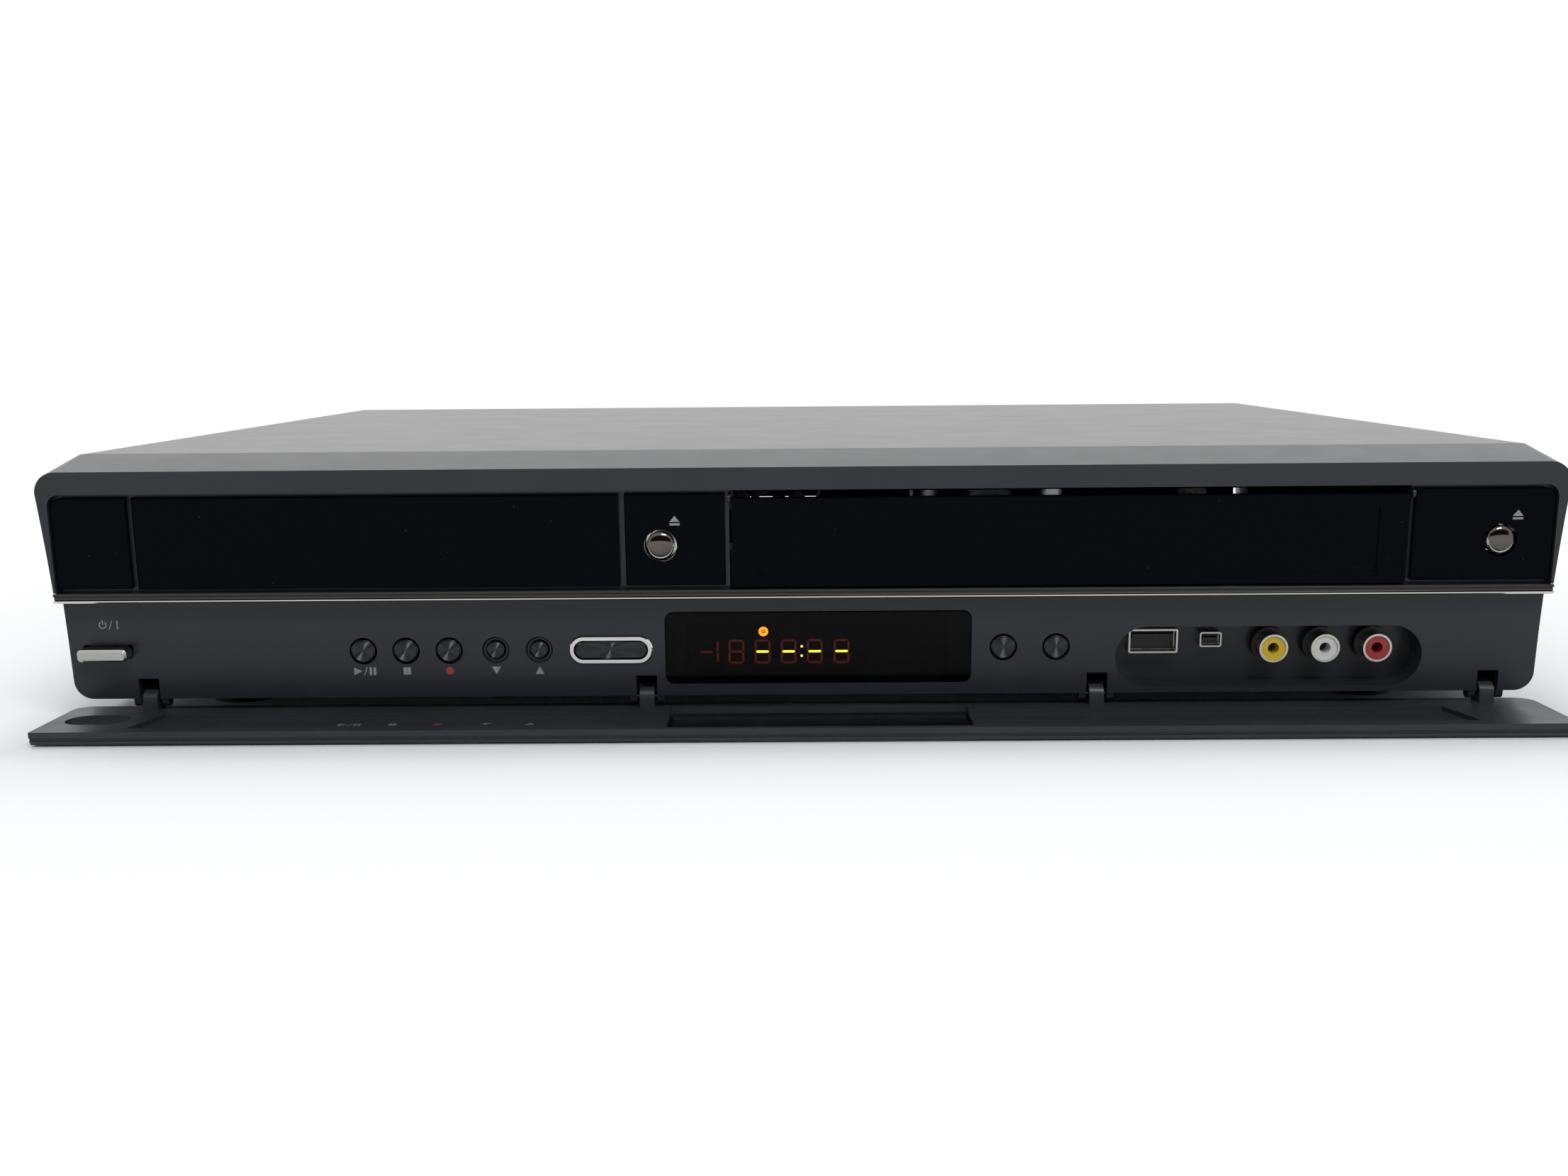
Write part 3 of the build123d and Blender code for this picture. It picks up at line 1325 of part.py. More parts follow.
# ---------------------------------------------------------------- fan
hub_radius = 8.0
hub_length = 7.5
blade_count = 7
blade_size = (1.2, 8.0)
blade_turn = -52  # degrees, the pitch of the blades
strut_width = 2.4
strut_thickness = 1.2
fan_shaft_length = 6.0
with BuildPart() as fan_frame:
    with BuildSketch(Plane.XZ.offset(-rear_inner_y)):
        with Locations(fan_place):
            RectangleRounded(fan_size, fan_size, 3)
            Circle(fan_bore, mode=Mode.SUBTRACT)
    extrude(amount=fan_thickness)
    with BuildSketch(Plane.XZ.offset(-(rear_inner_y - fan_thickness))):
        with Locations(fan_place):
            Circle(hub_radius)
            Rectangle(2 * fan_bore + 1, strut_width)
            Rectangle(strut_width, 2 * fan_bore + 1)
    extrude(amount=-strut_thickness)
    with BuildSketch(Plane.XZ.offset(-(rear_inner_y - fan_thickness + strut_thickness))):
        with Locations(fan_place):
            Circle(shaft_radius)
    extrude(amount=-fan_shaft_length)
save(fan_frame.part, "fan_frame")

with BuildPart() as fan_rotor:
    hub_back = rear_inner_y - fan_thickness + strut_thickness + 0.3
    with BuildSketch(Plane.XZ.offset(-hub_back)):
        with Locations(fan_place):
            Circle(hub_radius)
    extrude(amount=-hub_length)
    blade_middle = hub_back + hub_length / 2
    for turn in range(blade_count):
        angle = radians(turn * 360 / blade_count)
        outward = Vector(cos(angle), 0, sin(angle))
        root = Vector(fan_place[0], blade_middle, fan_place[1]) + outward * (hub_radius - 1)
        with BuildSketch(Plane(origin=root, x_dir=(0, 1, 0), z_dir=outward)):
            Rectangle(*blade_size, rotation=blade_turn)
        extrude(amount=fan_bore - hub_radius)
    with BuildSketch(Plane.XZ.offset(-hub_back)):
        with Locations(fan_place):
            Circle(shaft_radius + running_gap)
    extrude(amount=-fan_shaft_length, mode=Mode.SUBTRACT)
save(fan_rotor.part, "fan_rotor")

# ---------------------------------------------------------------- boards inside
board_z = pan_bottom + chassis_sheet + board_post
chip_height = 2.4
with BuildPart() as main_board:
    with BuildSketch(Plane.XY.offset(board_z)):
        with Locations((main_board_middle[0], depth(main_board_middle[1]))):
            Rectangle(*main_board_size)
    extrude(amount=board_thickness)
    with BuildSketch(Plane.XY.offset(board_z + board_thickness)):
        with Locations((main_board_middle[0] - 20, depth(main_board_middle[1] - 10))):
            Rectangle(28, 28)
            with Locations((50, 20), (50, -24), (-44, 24)):
                Rectangle(20, 12)
    extrude(amount=chip_height)
save(main_board.part, "main_board")

transformer_height = 26.0
capacitor_height = 30.0
heat_sink_height = 34.0
with BuildPart() as power_supply:
    supply_y = depth(supply_middle[1])
    with BuildSketch(Plane.XY.offset(board_z)):
        with Locations((supply_middle[0], supply_y)):
            Rectangle(*supply_size)
    extrude(amount=board_thickness)
    with BuildSketch(Plane.XY.offset(board_z + board_thickness)):
        with Locations((supply_middle[0] - 10, supply_y)):
            Rectangle(32, 28)
    extrude(amount=transformer_height)
    with BuildSketch(Plane.XY.offset(board_z + board_thickness)):
        with Locations((supply_middle[0] + 36, supply_y - 6)):
            Circle(11)
        with Locations((supply_middle[0] - 48, supply_y + 14), (supply_middle[0] - 62, supply_y - 8)):
            Circle(6)
    extrude(amount=capacitor_height)
    # finned heat sink
    with BuildSketch(Plane.XY.offset(board_z + board_thickness)):
        with Locations((supply_middle[0] + 64, supply_y)):
            Rectangle(3, 50)
            with GridLocations(1, 7, 1, 8):
                Rectangle(16, 1.5)
    extrude(amount=heat_sink_height)
save(power_supply.part, "power_supply")

# ---------------------------------------------------------------- feet and screws
foot_radius = 10.5
foot_side_inset = 38.0
foot_front_depth = 51.0
foot_rear_inset = 40.0
foot_rear_depth = seam_depth + cover_length - foot_rear_inset
with BuildPart() as feet:
    with BuildSketch(Plane.XY):
        with Locations((0, depth((foot_front_depth + foot_rear_depth) / 2))):
            with GridLocations(cover_width - 2 * foot_side_inset,
                               foot_rear_depth - foot_front_depth, 2, 2):
                Circle(foot_radius)
    extrude(amount=foot_height)
save(feet.part, "feet")

screw_head = 3.2
screw_head_height = 1.8
small_screw_head = 1.6
rear_screw_pitch = 130.0
side_screw_pitch = cover_length - 97.0
rear_screw_places = ((-150, 64), (160, 64), (60, 14), (-170, 16))
with BuildPart() as casing_screws:
    with BuildSketch(Plane.XZ.offset(-cover_rear_y)):
        with Locations((0, body_height - 2.6)):
            with GridLocations(rear_screw_pitch, 1, 3, 1):
                Circle(small_screw_head)
    extrude(amount=-1.4)
    for side in (-1, 1):
        with BuildSketch(Plane.YZ.offset(side * cover_width / 2)):
            with Locations((cover_middle_y, level(cover_side_bottom - 12))):
                with GridLocations(side_screw_pitch, 1, 2, 1):
                    Circle(screw_head)
        extrude(amount=side * screw_head_height)
    with BuildSketch(Plane.XZ.offset(-rear_outer_y)):
        with Locations(*rear_screw_places):
            Circle(2.6)
    extrude(amount=-1.6)
save(casing_screws.part, "casing_screws")
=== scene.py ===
"""Finish of the disc and cassette recorder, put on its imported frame."""

from math import cos, pi, radians, sin

import bmesh
import bpy
from mathutils import Matrix, Vector


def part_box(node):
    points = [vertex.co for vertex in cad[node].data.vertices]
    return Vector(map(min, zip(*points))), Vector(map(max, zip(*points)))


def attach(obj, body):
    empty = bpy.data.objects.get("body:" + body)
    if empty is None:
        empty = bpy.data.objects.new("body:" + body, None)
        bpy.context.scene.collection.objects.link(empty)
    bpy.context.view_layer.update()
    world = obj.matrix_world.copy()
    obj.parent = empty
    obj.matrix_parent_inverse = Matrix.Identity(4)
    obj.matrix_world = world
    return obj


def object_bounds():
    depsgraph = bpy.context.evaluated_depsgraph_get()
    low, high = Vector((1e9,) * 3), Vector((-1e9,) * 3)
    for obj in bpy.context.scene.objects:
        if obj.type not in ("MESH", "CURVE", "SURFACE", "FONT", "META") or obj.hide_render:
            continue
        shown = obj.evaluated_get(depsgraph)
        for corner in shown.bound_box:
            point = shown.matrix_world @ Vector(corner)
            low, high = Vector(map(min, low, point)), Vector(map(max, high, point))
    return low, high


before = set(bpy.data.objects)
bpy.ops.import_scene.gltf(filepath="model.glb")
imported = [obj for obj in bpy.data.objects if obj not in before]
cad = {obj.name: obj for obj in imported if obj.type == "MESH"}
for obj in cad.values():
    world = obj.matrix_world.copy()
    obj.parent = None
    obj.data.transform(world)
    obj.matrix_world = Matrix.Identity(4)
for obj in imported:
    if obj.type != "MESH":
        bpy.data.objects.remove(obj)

cad_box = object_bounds()

# ================================================================ studio
# The recorder stands on a pale sweep, in even light from a large soft lamp above
# and in front, with a weaker one behind. The camera looks from just above its top.


def srgb(code):
    """Linear colour from an sRGB hex code."""
    shares = [int(code[place:place + 2], 16) / 255 for place in (1, 3, 5)]
    return [s / 12.92 if s <= 0.04045 else ((s + 0.055) / 1.055) ** 2.4 for s in shares] + [1.0]


def add_node(tree, kind, inputs=(), **settings):
    """Add one node: its settings, and for each input a value or the output that feeds it."""
    made = tree.nodes.new(kind)
    for name, value in settings.items():
        setattr(made, name, value)
    for name, value in dict(inputs).items():
        if isinstance(value, bpy.types.NodeSocket):
            tree.links.new(value, made.inputs[name])
        else:
            made.inputs[name].default_value = value
    return made


def white_for_eye(tree):
    """1 for rays that the lens, metal or glass sees, 0 for light that falls on surfaces."""
    rays = add_node(tree, "ShaderNodeLightPath").outputs
    seen = add_node(tree, "ShaderNodeMath", {0: rays["Is Camera Ray"], 1: rays["Is Glossy Ray"]},
                    operation="MAXIMUM")
    return add_node(tree, "ShaderNodeMath",
                    {0: seen.outputs[0], 1: rays["Is Transmission Ray"]},
                    operation="MAXIMUM").outputs[0]


room_strength = 0.6  # of the light that the room itself gives
room = bpy.data.worlds.new("pale_room")
bpy.context.scene.world = room
room.use_nodes = True
room.node_tree.nodes.clear()
room_light = add_node(room.node_tree, "ShaderNodeBackground",
                      {"Color": srgb("#dfe3e8"), "Strength": room_strength})
room_white = add_node(room.node_tree, "ShaderNodeBackground",
                      {"Color": srgb("#ffffff"), "Strength": 1.0})
room_mix = add_node(room.node_tree, "ShaderNodeMixShader",
                    {0: white_for_eye(room.node_tree), 1: room_light.outputs[0],
                     2: room_white.outputs[0]})
add_node(room.node_tree, "ShaderNodeOutputWorld", {"Surface": room_mix.outputs[0]})

sweep_half = 4.0
footprint = (cad_box[1][0], -cad_box[0][1])
shadow_reach = 1.1  # footprints from the middle, up to where the shadow shows in full
white_reach = 1.7  # beyond this the paper is lit to plain white
edge_lift = 0.12  # light that the eye alone sees on the paper at shadow_reach
sweep_mesh = bpy.data.meshes.new("sweep")
sweep_mesh.from_pydata([(-sweep_half, -sweep_half, 0), (sweep_half, -sweep_half, 0),
                        (sweep_half, sweep_half, 0), (-sweep_half, sweep_half, 0)],
                       [], [(0, 1, 2, 3)])
sweep = bpy.data.objects.new("sweep", sweep_mesh)
bpy.context.scene.collection.objects.link(sweep)
sweep_paper = bpy.data.materials.new("seamless_paper")
sweep_paper.use_nodes = True
paper_tree = sweep_paper.node_tree
paper_tree.nodes.clear()
paper_matt = add_node(paper_tree, "ShaderNodeBsdfDiffuse", {"Color": srgb("#f6f6f6")})
paper_place = add_node(paper_tree, "ShaderNodeTexCoord").outputs["Object"]
paper_share = add_node(paper_tree, "ShaderNodeVectorMath",
                       {0: paper_place, 1: (footprint[0], footprint[1], 1)}, operation="DIVIDE")
paper_sides = add_node(paper_tree, "ShaderNodeSeparateXYZ", {0: add_node(
    paper_tree, "ShaderNodeVectorMath", {0: paper_share.outputs[0]},
    operation="ABSOLUTE").outputs[0]}).outputs
paper_reach = add_node(paper_tree, "ShaderNodeMath", {0: paper_sides[0], 1: paper_sides[1]},
                       operation="MAXIMUM")
paper_far = add_node(paper_tree, "ShaderNodeMapRange",
                     {0: paper_reach.outputs[0], 1: shadow_reach, 2: white_reach})
paper_edge = add_node(paper_tree, "ShaderNodeMapRange",
                      {0: paper_reach.outputs[0], 1: 1.0, 2: shadow_reach, 3: 0.0, 4: edge_lift})
paper_lift = add_node(paper_tree, "ShaderNodeMath",
                      {0: add_node(paper_tree, "ShaderNodeLightPath").outputs["Is Camera Ray"],
                       1: paper_edge.outputs[0]}, operation="MULTIPLY")
paper_glow = add_node(paper_tree, "ShaderNodeEmission",
                      {"Color": srgb("#ffffff"), "Strength": paper_lift.outputs[0]})
paper_sum = add_node(paper_tree, "ShaderNodeAddShader",
                     {0: paper_matt.outputs[0], 1: paper_glow.outputs[0]})
paper_white_share = add_node(paper_tree, "ShaderNodeMath",
                             {0: paper_far.outputs[0], 1: white_for_eye(paper_tree)},
                             operation="MULTIPLY")
paper_white = add_node(paper_tree, "ShaderNodeEmission",
                       {"Color": srgb("#ffffff"), "Strength": 1.0})
paper_mix = add_node(paper_tree, "ShaderNodeMixShader",
                     {0: paper_white_share.outputs[0], 1: paper_sum.outputs[0],
                      2: paper_white.outputs[0]})
add_node(paper_tree, "ShaderNodeOutputMaterial", {"Surface": paper_mix.outputs[0]})
sweep_mesh.materials.append(sweep_paper)


def soft_lamp(name, place, aim, size, power):
    """A large soft box of so many metres and watts, turned to face its aim."""
    light = bpy.data.lights.new(name, "AREA")
    light.shape = "RECTANGLE"
    light.size, light.size_y = size
    light.energy = power
    lamp = bpy.data.objects.new(name, light)
    lamp.location = place
    lamp.rotation_euler = (Vector(aim) - Vector(place)).to_track_quat("-Z", "Y").to_euler()
    bpy.context.scene.collection.objects.link(lamp)


soft_lamp("front_soft_box", place=(0.45, -1.5, 1.5), aim=(0, -0.1, 0.03), size=(0.9, 0.6),
          power=17)
soft_lamp("top_soft_box", place=(-0.4, 0.7, 1.7), aim=(0, 0.1, 0.03), size=(1.6, 1.2),
          power=10)

# A black card in front, which only reflections show. It darkens the bright trim's middle.
card_side, card_ahead, card_low, card_high = 1.6, -1.3, 0.10, 0.80
card_mesh = bpy.data.meshes.new("black_card")
card_mesh.from_pydata([(-card_side, card_ahead, card_low), (card_side, card_ahead, card_low),
                       (card_side, card_ahead, card_high), (-card_side, card_ahead, card_high)],
                      [], [(3, 2, 1, 0)])
card = bpy.data.objects.new("black_card", card_mesh)
bpy.context.scene.collection.objects.link(card)
card_paper = bpy.data.materials.new("black_card_paper")
card_paper.use_nodes = True
card_paper.node_tree.nodes["Principled BSDF"].inputs["Base Color"].default_value = srgb("#0a0a0a")
card_mesh.materials.append(card_paper)
card.visible_camera = False
card.visible_diffuse = False
card.visible_shadow = False
card.visible_transmission = False

# Solved from the edges of the real one: place, length of lens and turns in radians
mm = 0.001
camera_spot = (-0.24 * mm, -624.81 * mm, 109.36 * mm)
camera_lens = 37.70
camera_pitch = 0.1486
camera_yaw = 0.0095
camera_roll = -0.0083
ahead = Vector((-sin(camera_yaw) * cos(camera_pitch), cos(camera_yaw) * cos(camera_pitch),
                -sin(camera_pitch)))
level_right = Vector((cos(camera_yaw), sin(camera_yaw), 0))
level_up = level_right.cross(ahead)
lens_right = cos(camera_roll) * level_right + sin(camera_roll) * level_up
lens_up = cos(camera_roll) * level_up - sin(camera_roll) * level_right
camera = bpy.data.objects.new("camera", bpy.data.cameras.new("camera"))
camera.data.lens = camera_lens
camera.data.sensor_width = 36
camera_turn = Matrix((lens_right, lens_up, -ahead)).transposed().to_4x4()
camera.matrix_world = Matrix.Translation(camera_spot) @ camera_turn
bpy.context.scene.collection.objects.link(camera)
bpy.context.scene.camera = camera
bpy.context.scene.view_settings.view_transform = "Standard"

# ================================================================ chassis pan
# Zinc plated sheet steel, cut, folded and pressed. The plating gives it a grey
# sheen with faint crystals, and its bend lines and cut edges are softly rounded.


def new_finish(name):
    """An empty material, its tree, and the place of each point of the piece it is on."""
    material = bpy.data.materials.new(name)
    material.use_nodes = True
    tree = material.node_tree
    tree.nodes.clear()
    return material, tree, add_node(tree, "ShaderNodeTexCoord").outputs["Object"]


def patchy(tree, place, size, low, high, detail=2, edges=(0.35, 0.65)):
    """A value that drifts from low to high over the surface, in patches of about this size."""
    patches = add_node(tree, "ShaderNodeTexNoise",
                       {"Vector": place, "Scale": 1 / size, "Detail": detail})
    return add_node(tree, "ShaderNodeMapRange", {
        0: patches.outputs[0], 1: edges[0], 2: edges[1], 3: low, 4: high}).outputs[0]


def grained(tree, place, size, depth):
    """The slopes of a fine grain of this width and depth."""
    grain = add_node(tree, "ShaderNodeTexNoise", {"Vector": place, "Scale": 1 / size})
    return add_node(tree, "ShaderNodeBump",
                    {"Distance": depth, "Height": grain.outputs[0]}).outputs[0]


rolled_haze, rolled_grain, rolled_depth = 22 * mm, 0.8 * mm, 0.01 * mm


def plated_sheet(name, low, high, crystal=7 * mm, rough=(0.28, 0.42)):
    """Zinc plated steel: grey metal with a faint spangle and a rolled sheen."""
    material, tree, place = new_finish(name)
    spangle = add_node(tree, "ShaderNodeTexVoronoi", {"Vector": place, "Scale": 1 / crystal})
    shade = add_node(tree, "ShaderNodeSeparateColor", {0: spangle.outputs["Color"]})
    colour = add_node(tree, "ShaderNodeMix",
                      {0: shade.outputs[0], 6: srgb(low), 7: srgb(high)}, data_type="RGBA")
    metal = add_node(tree, "ShaderNodeBsdfPrincipled", {
        "Base Color": colour.outputs[2], "Metallic": 1.0,
        "Roughness": patchy(tree, place, rolled_haze, *rough, detail=4),
        "Normal": grained(tree, place, rolled_grain, rolled_depth)})
    add_node(tree, "ShaderNodeOutputMaterial", {"Surface": metal.outputs[0]})
    return material


def crease_tree():
    """Joins a part's triangles and keeps a hard edge only where faces meet at an angle."""
    tree = bpy.data.node_groups.new("soft_shading", "GeometryNodeTree")
    panel = tree.interface
    panel.new_socket("Geometry", in_out="INPUT", socket_type="NodeSocketGeometry")
    joint = panel.new_socket("Join Distance", in_out="INPUT", socket_type="NodeSocketFloat")
    joint.default_value = 0.002 * mm
    crease = panel.new_socket("Crease Angle", in_out="INPUT", socket_type="NodeSocketFloat")
    crease.default_value = radians(28)
    panel.new_socket("Geometry", in_out="OUTPUT", socket_type="NodeSocketGeometry")
    given = add_node(tree, "NodeGroupInput").outputs
    whole = add_node(tree, "GeometryNodeMergeByDistance",
                     {"Geometry": given["Geometry"], "Distance": given["Join Distance"]})
    smooth = add_node(tree, "GeometryNodeSetShadeSmooth",
                      {"Geometry": whole.outputs[0], "Shade Smooth": True}, domain="FACE")
    angle = add_node(tree, "GeometryNodeInputMeshEdgeAngle").outputs["Unsigned Angle"]
    sharp = add_node(tree, "FunctionNodeCompare", {0: angle, 1: given["Crease Angle"]},
                     data_type="FLOAT", operation="GREATER_THAN")
    edged = add_node(tree, "GeometryNodeSetShadeSmooth",
                     {"Geometry": smooth.outputs[0], "Selection": sharp.outputs[0],
                      "Shade Smooth": False}, domain="EDGE")
    add_node(tree, "NodeGroupOutput", {"Geometry": edged.outputs[0]})
    return tree


soft_shading = crease_tree()


def dress(name, material):
    """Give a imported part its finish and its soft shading."""
    part = cad[name]
    for slot in part.material_slots:
        slot.material = material
    part.modifiers.new("soft_shading", "NODES").node_group = soft_shading
    weighted = part.modifiers.new("flat_faces_first", "WEIGHTED_NORMAL")
    weighted.keep_sharp = True


zinc_sheet = plated_sheet("zinc_plated_steel", "#8d9094", "#b4b7ba")
dress("base_chassis", zinc_sheet)

# ================================================================ boards
# Glass fibre boards under a green solder mask, with copper tracks that show
# through it as a lighter green. The supply's board is tan phenolic paper.
track_wide, track_pitch, track_long, track_rise = 0.35 * mm, 2.2 * mm, 9 * mm, 0.03 * mm
resin_drift, mould_patch = 38 * mm, 12 * mm


def solder_mask(name, low, high):
    """Lacquer over a board: dark between the copper tracks, lighter and raised on them."""
    material, tree, place = new_finish(name)
    tracks = add_node(tree, "ShaderNodeTexBrick", {
        "Vector": place, "Scale": 1.0, "Mortar Size": track_wide, "Brick Width": track_long,
        "Row Height": track_pitch, "Color1": (0, 0, 0, 1), "Color2": (0, 0, 0, 1),
        "Mortar": (1, 1, 1, 1)})
    colour = add_node(tree, "ShaderNodeMix", {0: tracks.outputs["Color"], 6: srgb(low),
                                              7: srgb(high)}, data_type="RGBA")
    raised = add_node(tree, "ShaderNodeBump",
                      {"Distance": track_rise, "Height": tracks.outputs["Color"]})
    mask = add_node(tree, "ShaderNodeBsdfPrincipled", {
        "Base Color": colour.outputs[2], "Roughness": patchy(tree, place, 3 * mm, 0.25, 0.4),
        "Normal": raised.outputs[0]})
    add_node(tree, "ShaderNodeOutputMaterial", {"Surface": mask.outputs[0]})
    return material


board_green = solder_mask("green_solder_mask", "#14401f", "#2c6a35")
board_tan = solder_mask("paper_phenolic_board", "#5b4a2b", "#7a6640")
for board_name in ("main_board", "front_board", "eject_boards"):
    dress(board_name, board_green)
dress("power_supply", board_tan)


def moulded(name, colour, worn, rough=(0.42, 0.55), specular=0.5, grain=0.5 * mm,
            depth=0.006 * mm):
    """Moulded plastic: one colour with a faint drift, and a fine spark-eroded grain."""
    material, tree, place = new_finish(name)
    tint = add_node(tree, "ShaderNodeMix",
                    {0: patchy(tree, place, resin_drift, 0, 1, detail=3), 6: srgb(colour),
                     7: srgb(worn)}, data_type="RGBA")
    plastic = add_node(tree, "ShaderNodeBsdfPrincipled", {
        "Base Color": tint.outputs[2],
        "Roughness": patchy(tree, place, mould_patch, *rough, detail=4),
        "Specular IOR Level": specular, "Normal": grained(tree, place, grain, depth)})
    add_node(tree, "ShaderNodeOutputMaterial", {"Surface": plastic.outputs[0]})
    return material


# ================================================================ disc drive
# The tray is moulded in dark grey, the frame in black, and the motor, rods and sled are steel and
# die-cast zinc. The turntable has a rubber ring round its hub, which here is in the frame's black
# like the rest of it.
tray_grey = moulded("moulded_tray_abs", "#2a2b2e", "#313236")
frame_black = moulded("moulded_black_abs", "#141415", "#1b1b1c")
cast_zinc = plated_sheet("die_cast_zinc", "#77797c", "#8f9194", 1.5 * mm, (0.4, 0.55))
ground_steel = plated_sheet("ground_steel_rod", "#a9abad", "#bcbec0", 0.8 * mm, (0.12, 0.2))
dress("disc_tray", tray_grey)
dress("drive_frame", frame_black)
dress("spindle_motor", zinc_sheet)
dress("turntable", frame_black)
dress("sled_rods", ground_steel)
dress("lens_sled", cast_zinc)

# ================================================================ cassette deck
# A pressed and plated deck plate, a black basket that takes the cassette in, two
# white reel tables on their posts and a machined aluminium head drum.
white_acetal = moulded("moulded_white_acetal", "#cfcdc6", "#dad8d2", (0.35, 0.45))
turned_stain = 4 * mm


def turned(name, low, high, node, across, rough, groove=0.35 * mm, slope=0.06):
    """A face turned on a lathe: fine rings about the part's own axis, which across leaves out."""
    near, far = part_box(node)
    material, tree, place = new_finish(name)
    centred = add_node(tree, "ShaderNodeVectorMath",
                       {0: place, 1: tuple((near + far) / 2)}, operation="SUBTRACT")
    flat = add_node(tree, "ShaderNodeVectorMath", {0: centred.outputs[0], 1: across},
                    operation="MULTIPLY")
    reach = add_node(tree, "ShaderNodeVectorMath", {0: flat.outputs[0]}, operation="LENGTH")
    turns = add_node(tree, "ShaderNodeMath", {0: reach.outputs["Value"], 1: 2 * pi / groove},
                     operation="MULTIPLY")
    rings = add_node(tree, "ShaderNodeMath", {0: turns.outputs[0]}, operation="SINE")
    raised = add_node(tree, "ShaderNodeBump", {"Distance": slope * groove / (2 * pi),
                                               "Height": rings.outputs[0]})
    stain = add_node(tree, "ShaderNodeTexNoise",
                     {"Vector": centred.outputs[0], "Scale": 1 / turned_stain})
    colour = add_node(tree, "ShaderNodeMix",
                      {0: stain.outputs[0], 6: srgb(low), 7: srgb(high)}, data_type="RGBA")
    metal = add_node(tree, "ShaderNodeBsdfPrincipled", {
        "Base Color": colour.outputs[2], "Metallic": 1.0, "Roughness": rough,
        "Normal": raised.outputs[0]})
    add_node(tree, "ShaderNodeOutputMaterial", {"Surface": metal.outputs[0]})
    return material


dress("deck_chassis", zinc_sheet)
dress("cassette_basket", frame_black)
dress("supply_reel_table", white_acetal)
dress("takeup_reel_table", white_acetal)
drum_metal = turned("turned_aluminium", "#bfc2c5", "#d5d7d9", "head_drum", (1, 1, 0), 0.22)
dress("lower_drum", drum_metal)
dress("head_drum", drum_metal)

# ================================================================ rear
# A painted steel panel with a black socket block, aerial and picture sockets, a
# mains inlet and a small fan behind its slots.
paint_drift, paint_patch, peel_depth = 60 * mm, 25 * mm, 0.0006 * mm
plate_smear = 6 * mm


def painted_sheet(name, low, high, rough, specular=0.5, peel=1.2 * mm):
    """Baked paint on steel, with a slight orange peel."""
    material, tree, place = new_finish(name)
    colour = add_node(tree, "ShaderNodeMix",
                      {0: patchy(tree, place, paint_drift, 0, 1, detail=4), 6: srgb(low),
                       7: srgb(high)}, data_type="RGBA")
    paint = add_node(tree, "ShaderNodeBsdfPrincipled", {
        "Base Color": colour.outputs[2],
        "Roughness": patchy(tree, place, paint_patch, *rough, detail=5),
        "Specular IOR Level": specular, "Normal": grained(tree, place, peel, peel_depth)})
    add_node(tree, "ShaderNodeOutputMaterial", {"Surface": paint.outputs[0]})
    return material


def bright_plate(name, colour, tint, rough):
    """Bright plating: metal with faint smears left by handling."""
    material, tree, place = new_finish(name)
    smear = add_node(tree, "ShaderNodeTexNoise",
                     {"Vector": place, "Scale": 1 / plate_smear, "Detail": 4})
    shade = add_node(tree, "ShaderNodeMix",
                     {0: smear.outputs[0], 6: srgb(colour), 7: srgb(tint)}, data_type="RGBA")
    metal = add_node(tree, "ShaderNodeBsdfPrincipled", {
        "Base Color": shade.outputs[2], "Metallic": 1.0,
        "Roughness": patchy(tree, place, plate_smear, *rough, detail=4)})
    add_node(tree, "ShaderNodeOutputMaterial", {"Surface": metal.outputs[0]})
    return material


rear_paint = painted_sheet("black_painted_steel", "#1d1e20", "#242527", (0.5, 0.62), 0.35)
socket_nickel = bright_plate("nickel_plated_brass", "#b9b6ae", "#c9c6be", (0.16, 0.28))
dress("rear_panel", rear_paint)
dress("rear_av_block", frame_black)
dress("rear_av_shells", socket_nickel)
dress("aerial_sockets", socket_nickel)
dress("hdmi_port", socket_nickel)
dress("mains_inlet", frame_black)
dress("fan_frame", frame_black)
dress("fan_rotor", frame_black)

# ================================================================ front moulding
# ABS moulded in one piece and sprayed with a satin charcoal paint, which shows a
# soft sheen on the brow and a darker, even face on the panel below the strip.
charcoal = moulded("sprayed_charcoal_abs", "#23262a", "#26292d", (0.24, 0.27), 0.32, 0.7 * mm,
                   0.0008 * mm)
dress("front_bezel", charcoal)

# Flap, in the same paint but handled, and its pins. The flap's paint is a little lighter than the
# bezel's, painted light for the lamp falling on its open inner face.
dress("front_flap", moulded("sprayed_flap_abs_painted_lighter", "#2a2d30", "#303336", (0.34, 0.42), 0.32,
                            0.7 * mm, 0.003 * mm))
dress("flap_hinge_pins", plated_sheet("blackened_steel_pin", "#26282a", "#303234", 2 * mm))

# ================================================================ front prints
# The symbols over and under the buttons are screen printed in grey ink, a few
# hundredths of a millimetre thick, and the record mark in red.
lean = radians(4)
doors_top = 20  # millimetres from the cover's top to the doors' upper edge
brow_overhang = 2.0
panel_setback = 4.4
print_thick = 0.05
ink_patch, pinhole, pinhole_depth = 0.5 * mm, 0.2 * mm, 0.003 * mm
brow_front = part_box("front_bezel")[0].y
cover_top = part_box("top_cover")[1].z


def front_point(across, below, setback):
    """A point across, down from the cover's top and behind the doors' face, in millimetres."""
    along = (doors_top - below) / cos(lean)
    return (across * mm,
            brow_front + (brow_overhang - sin(lean) * along + cos(lean) * setback) * mm,
            cover_top + (-doors_top + cos(lean) * along + sin(lean) * setback) * mm)


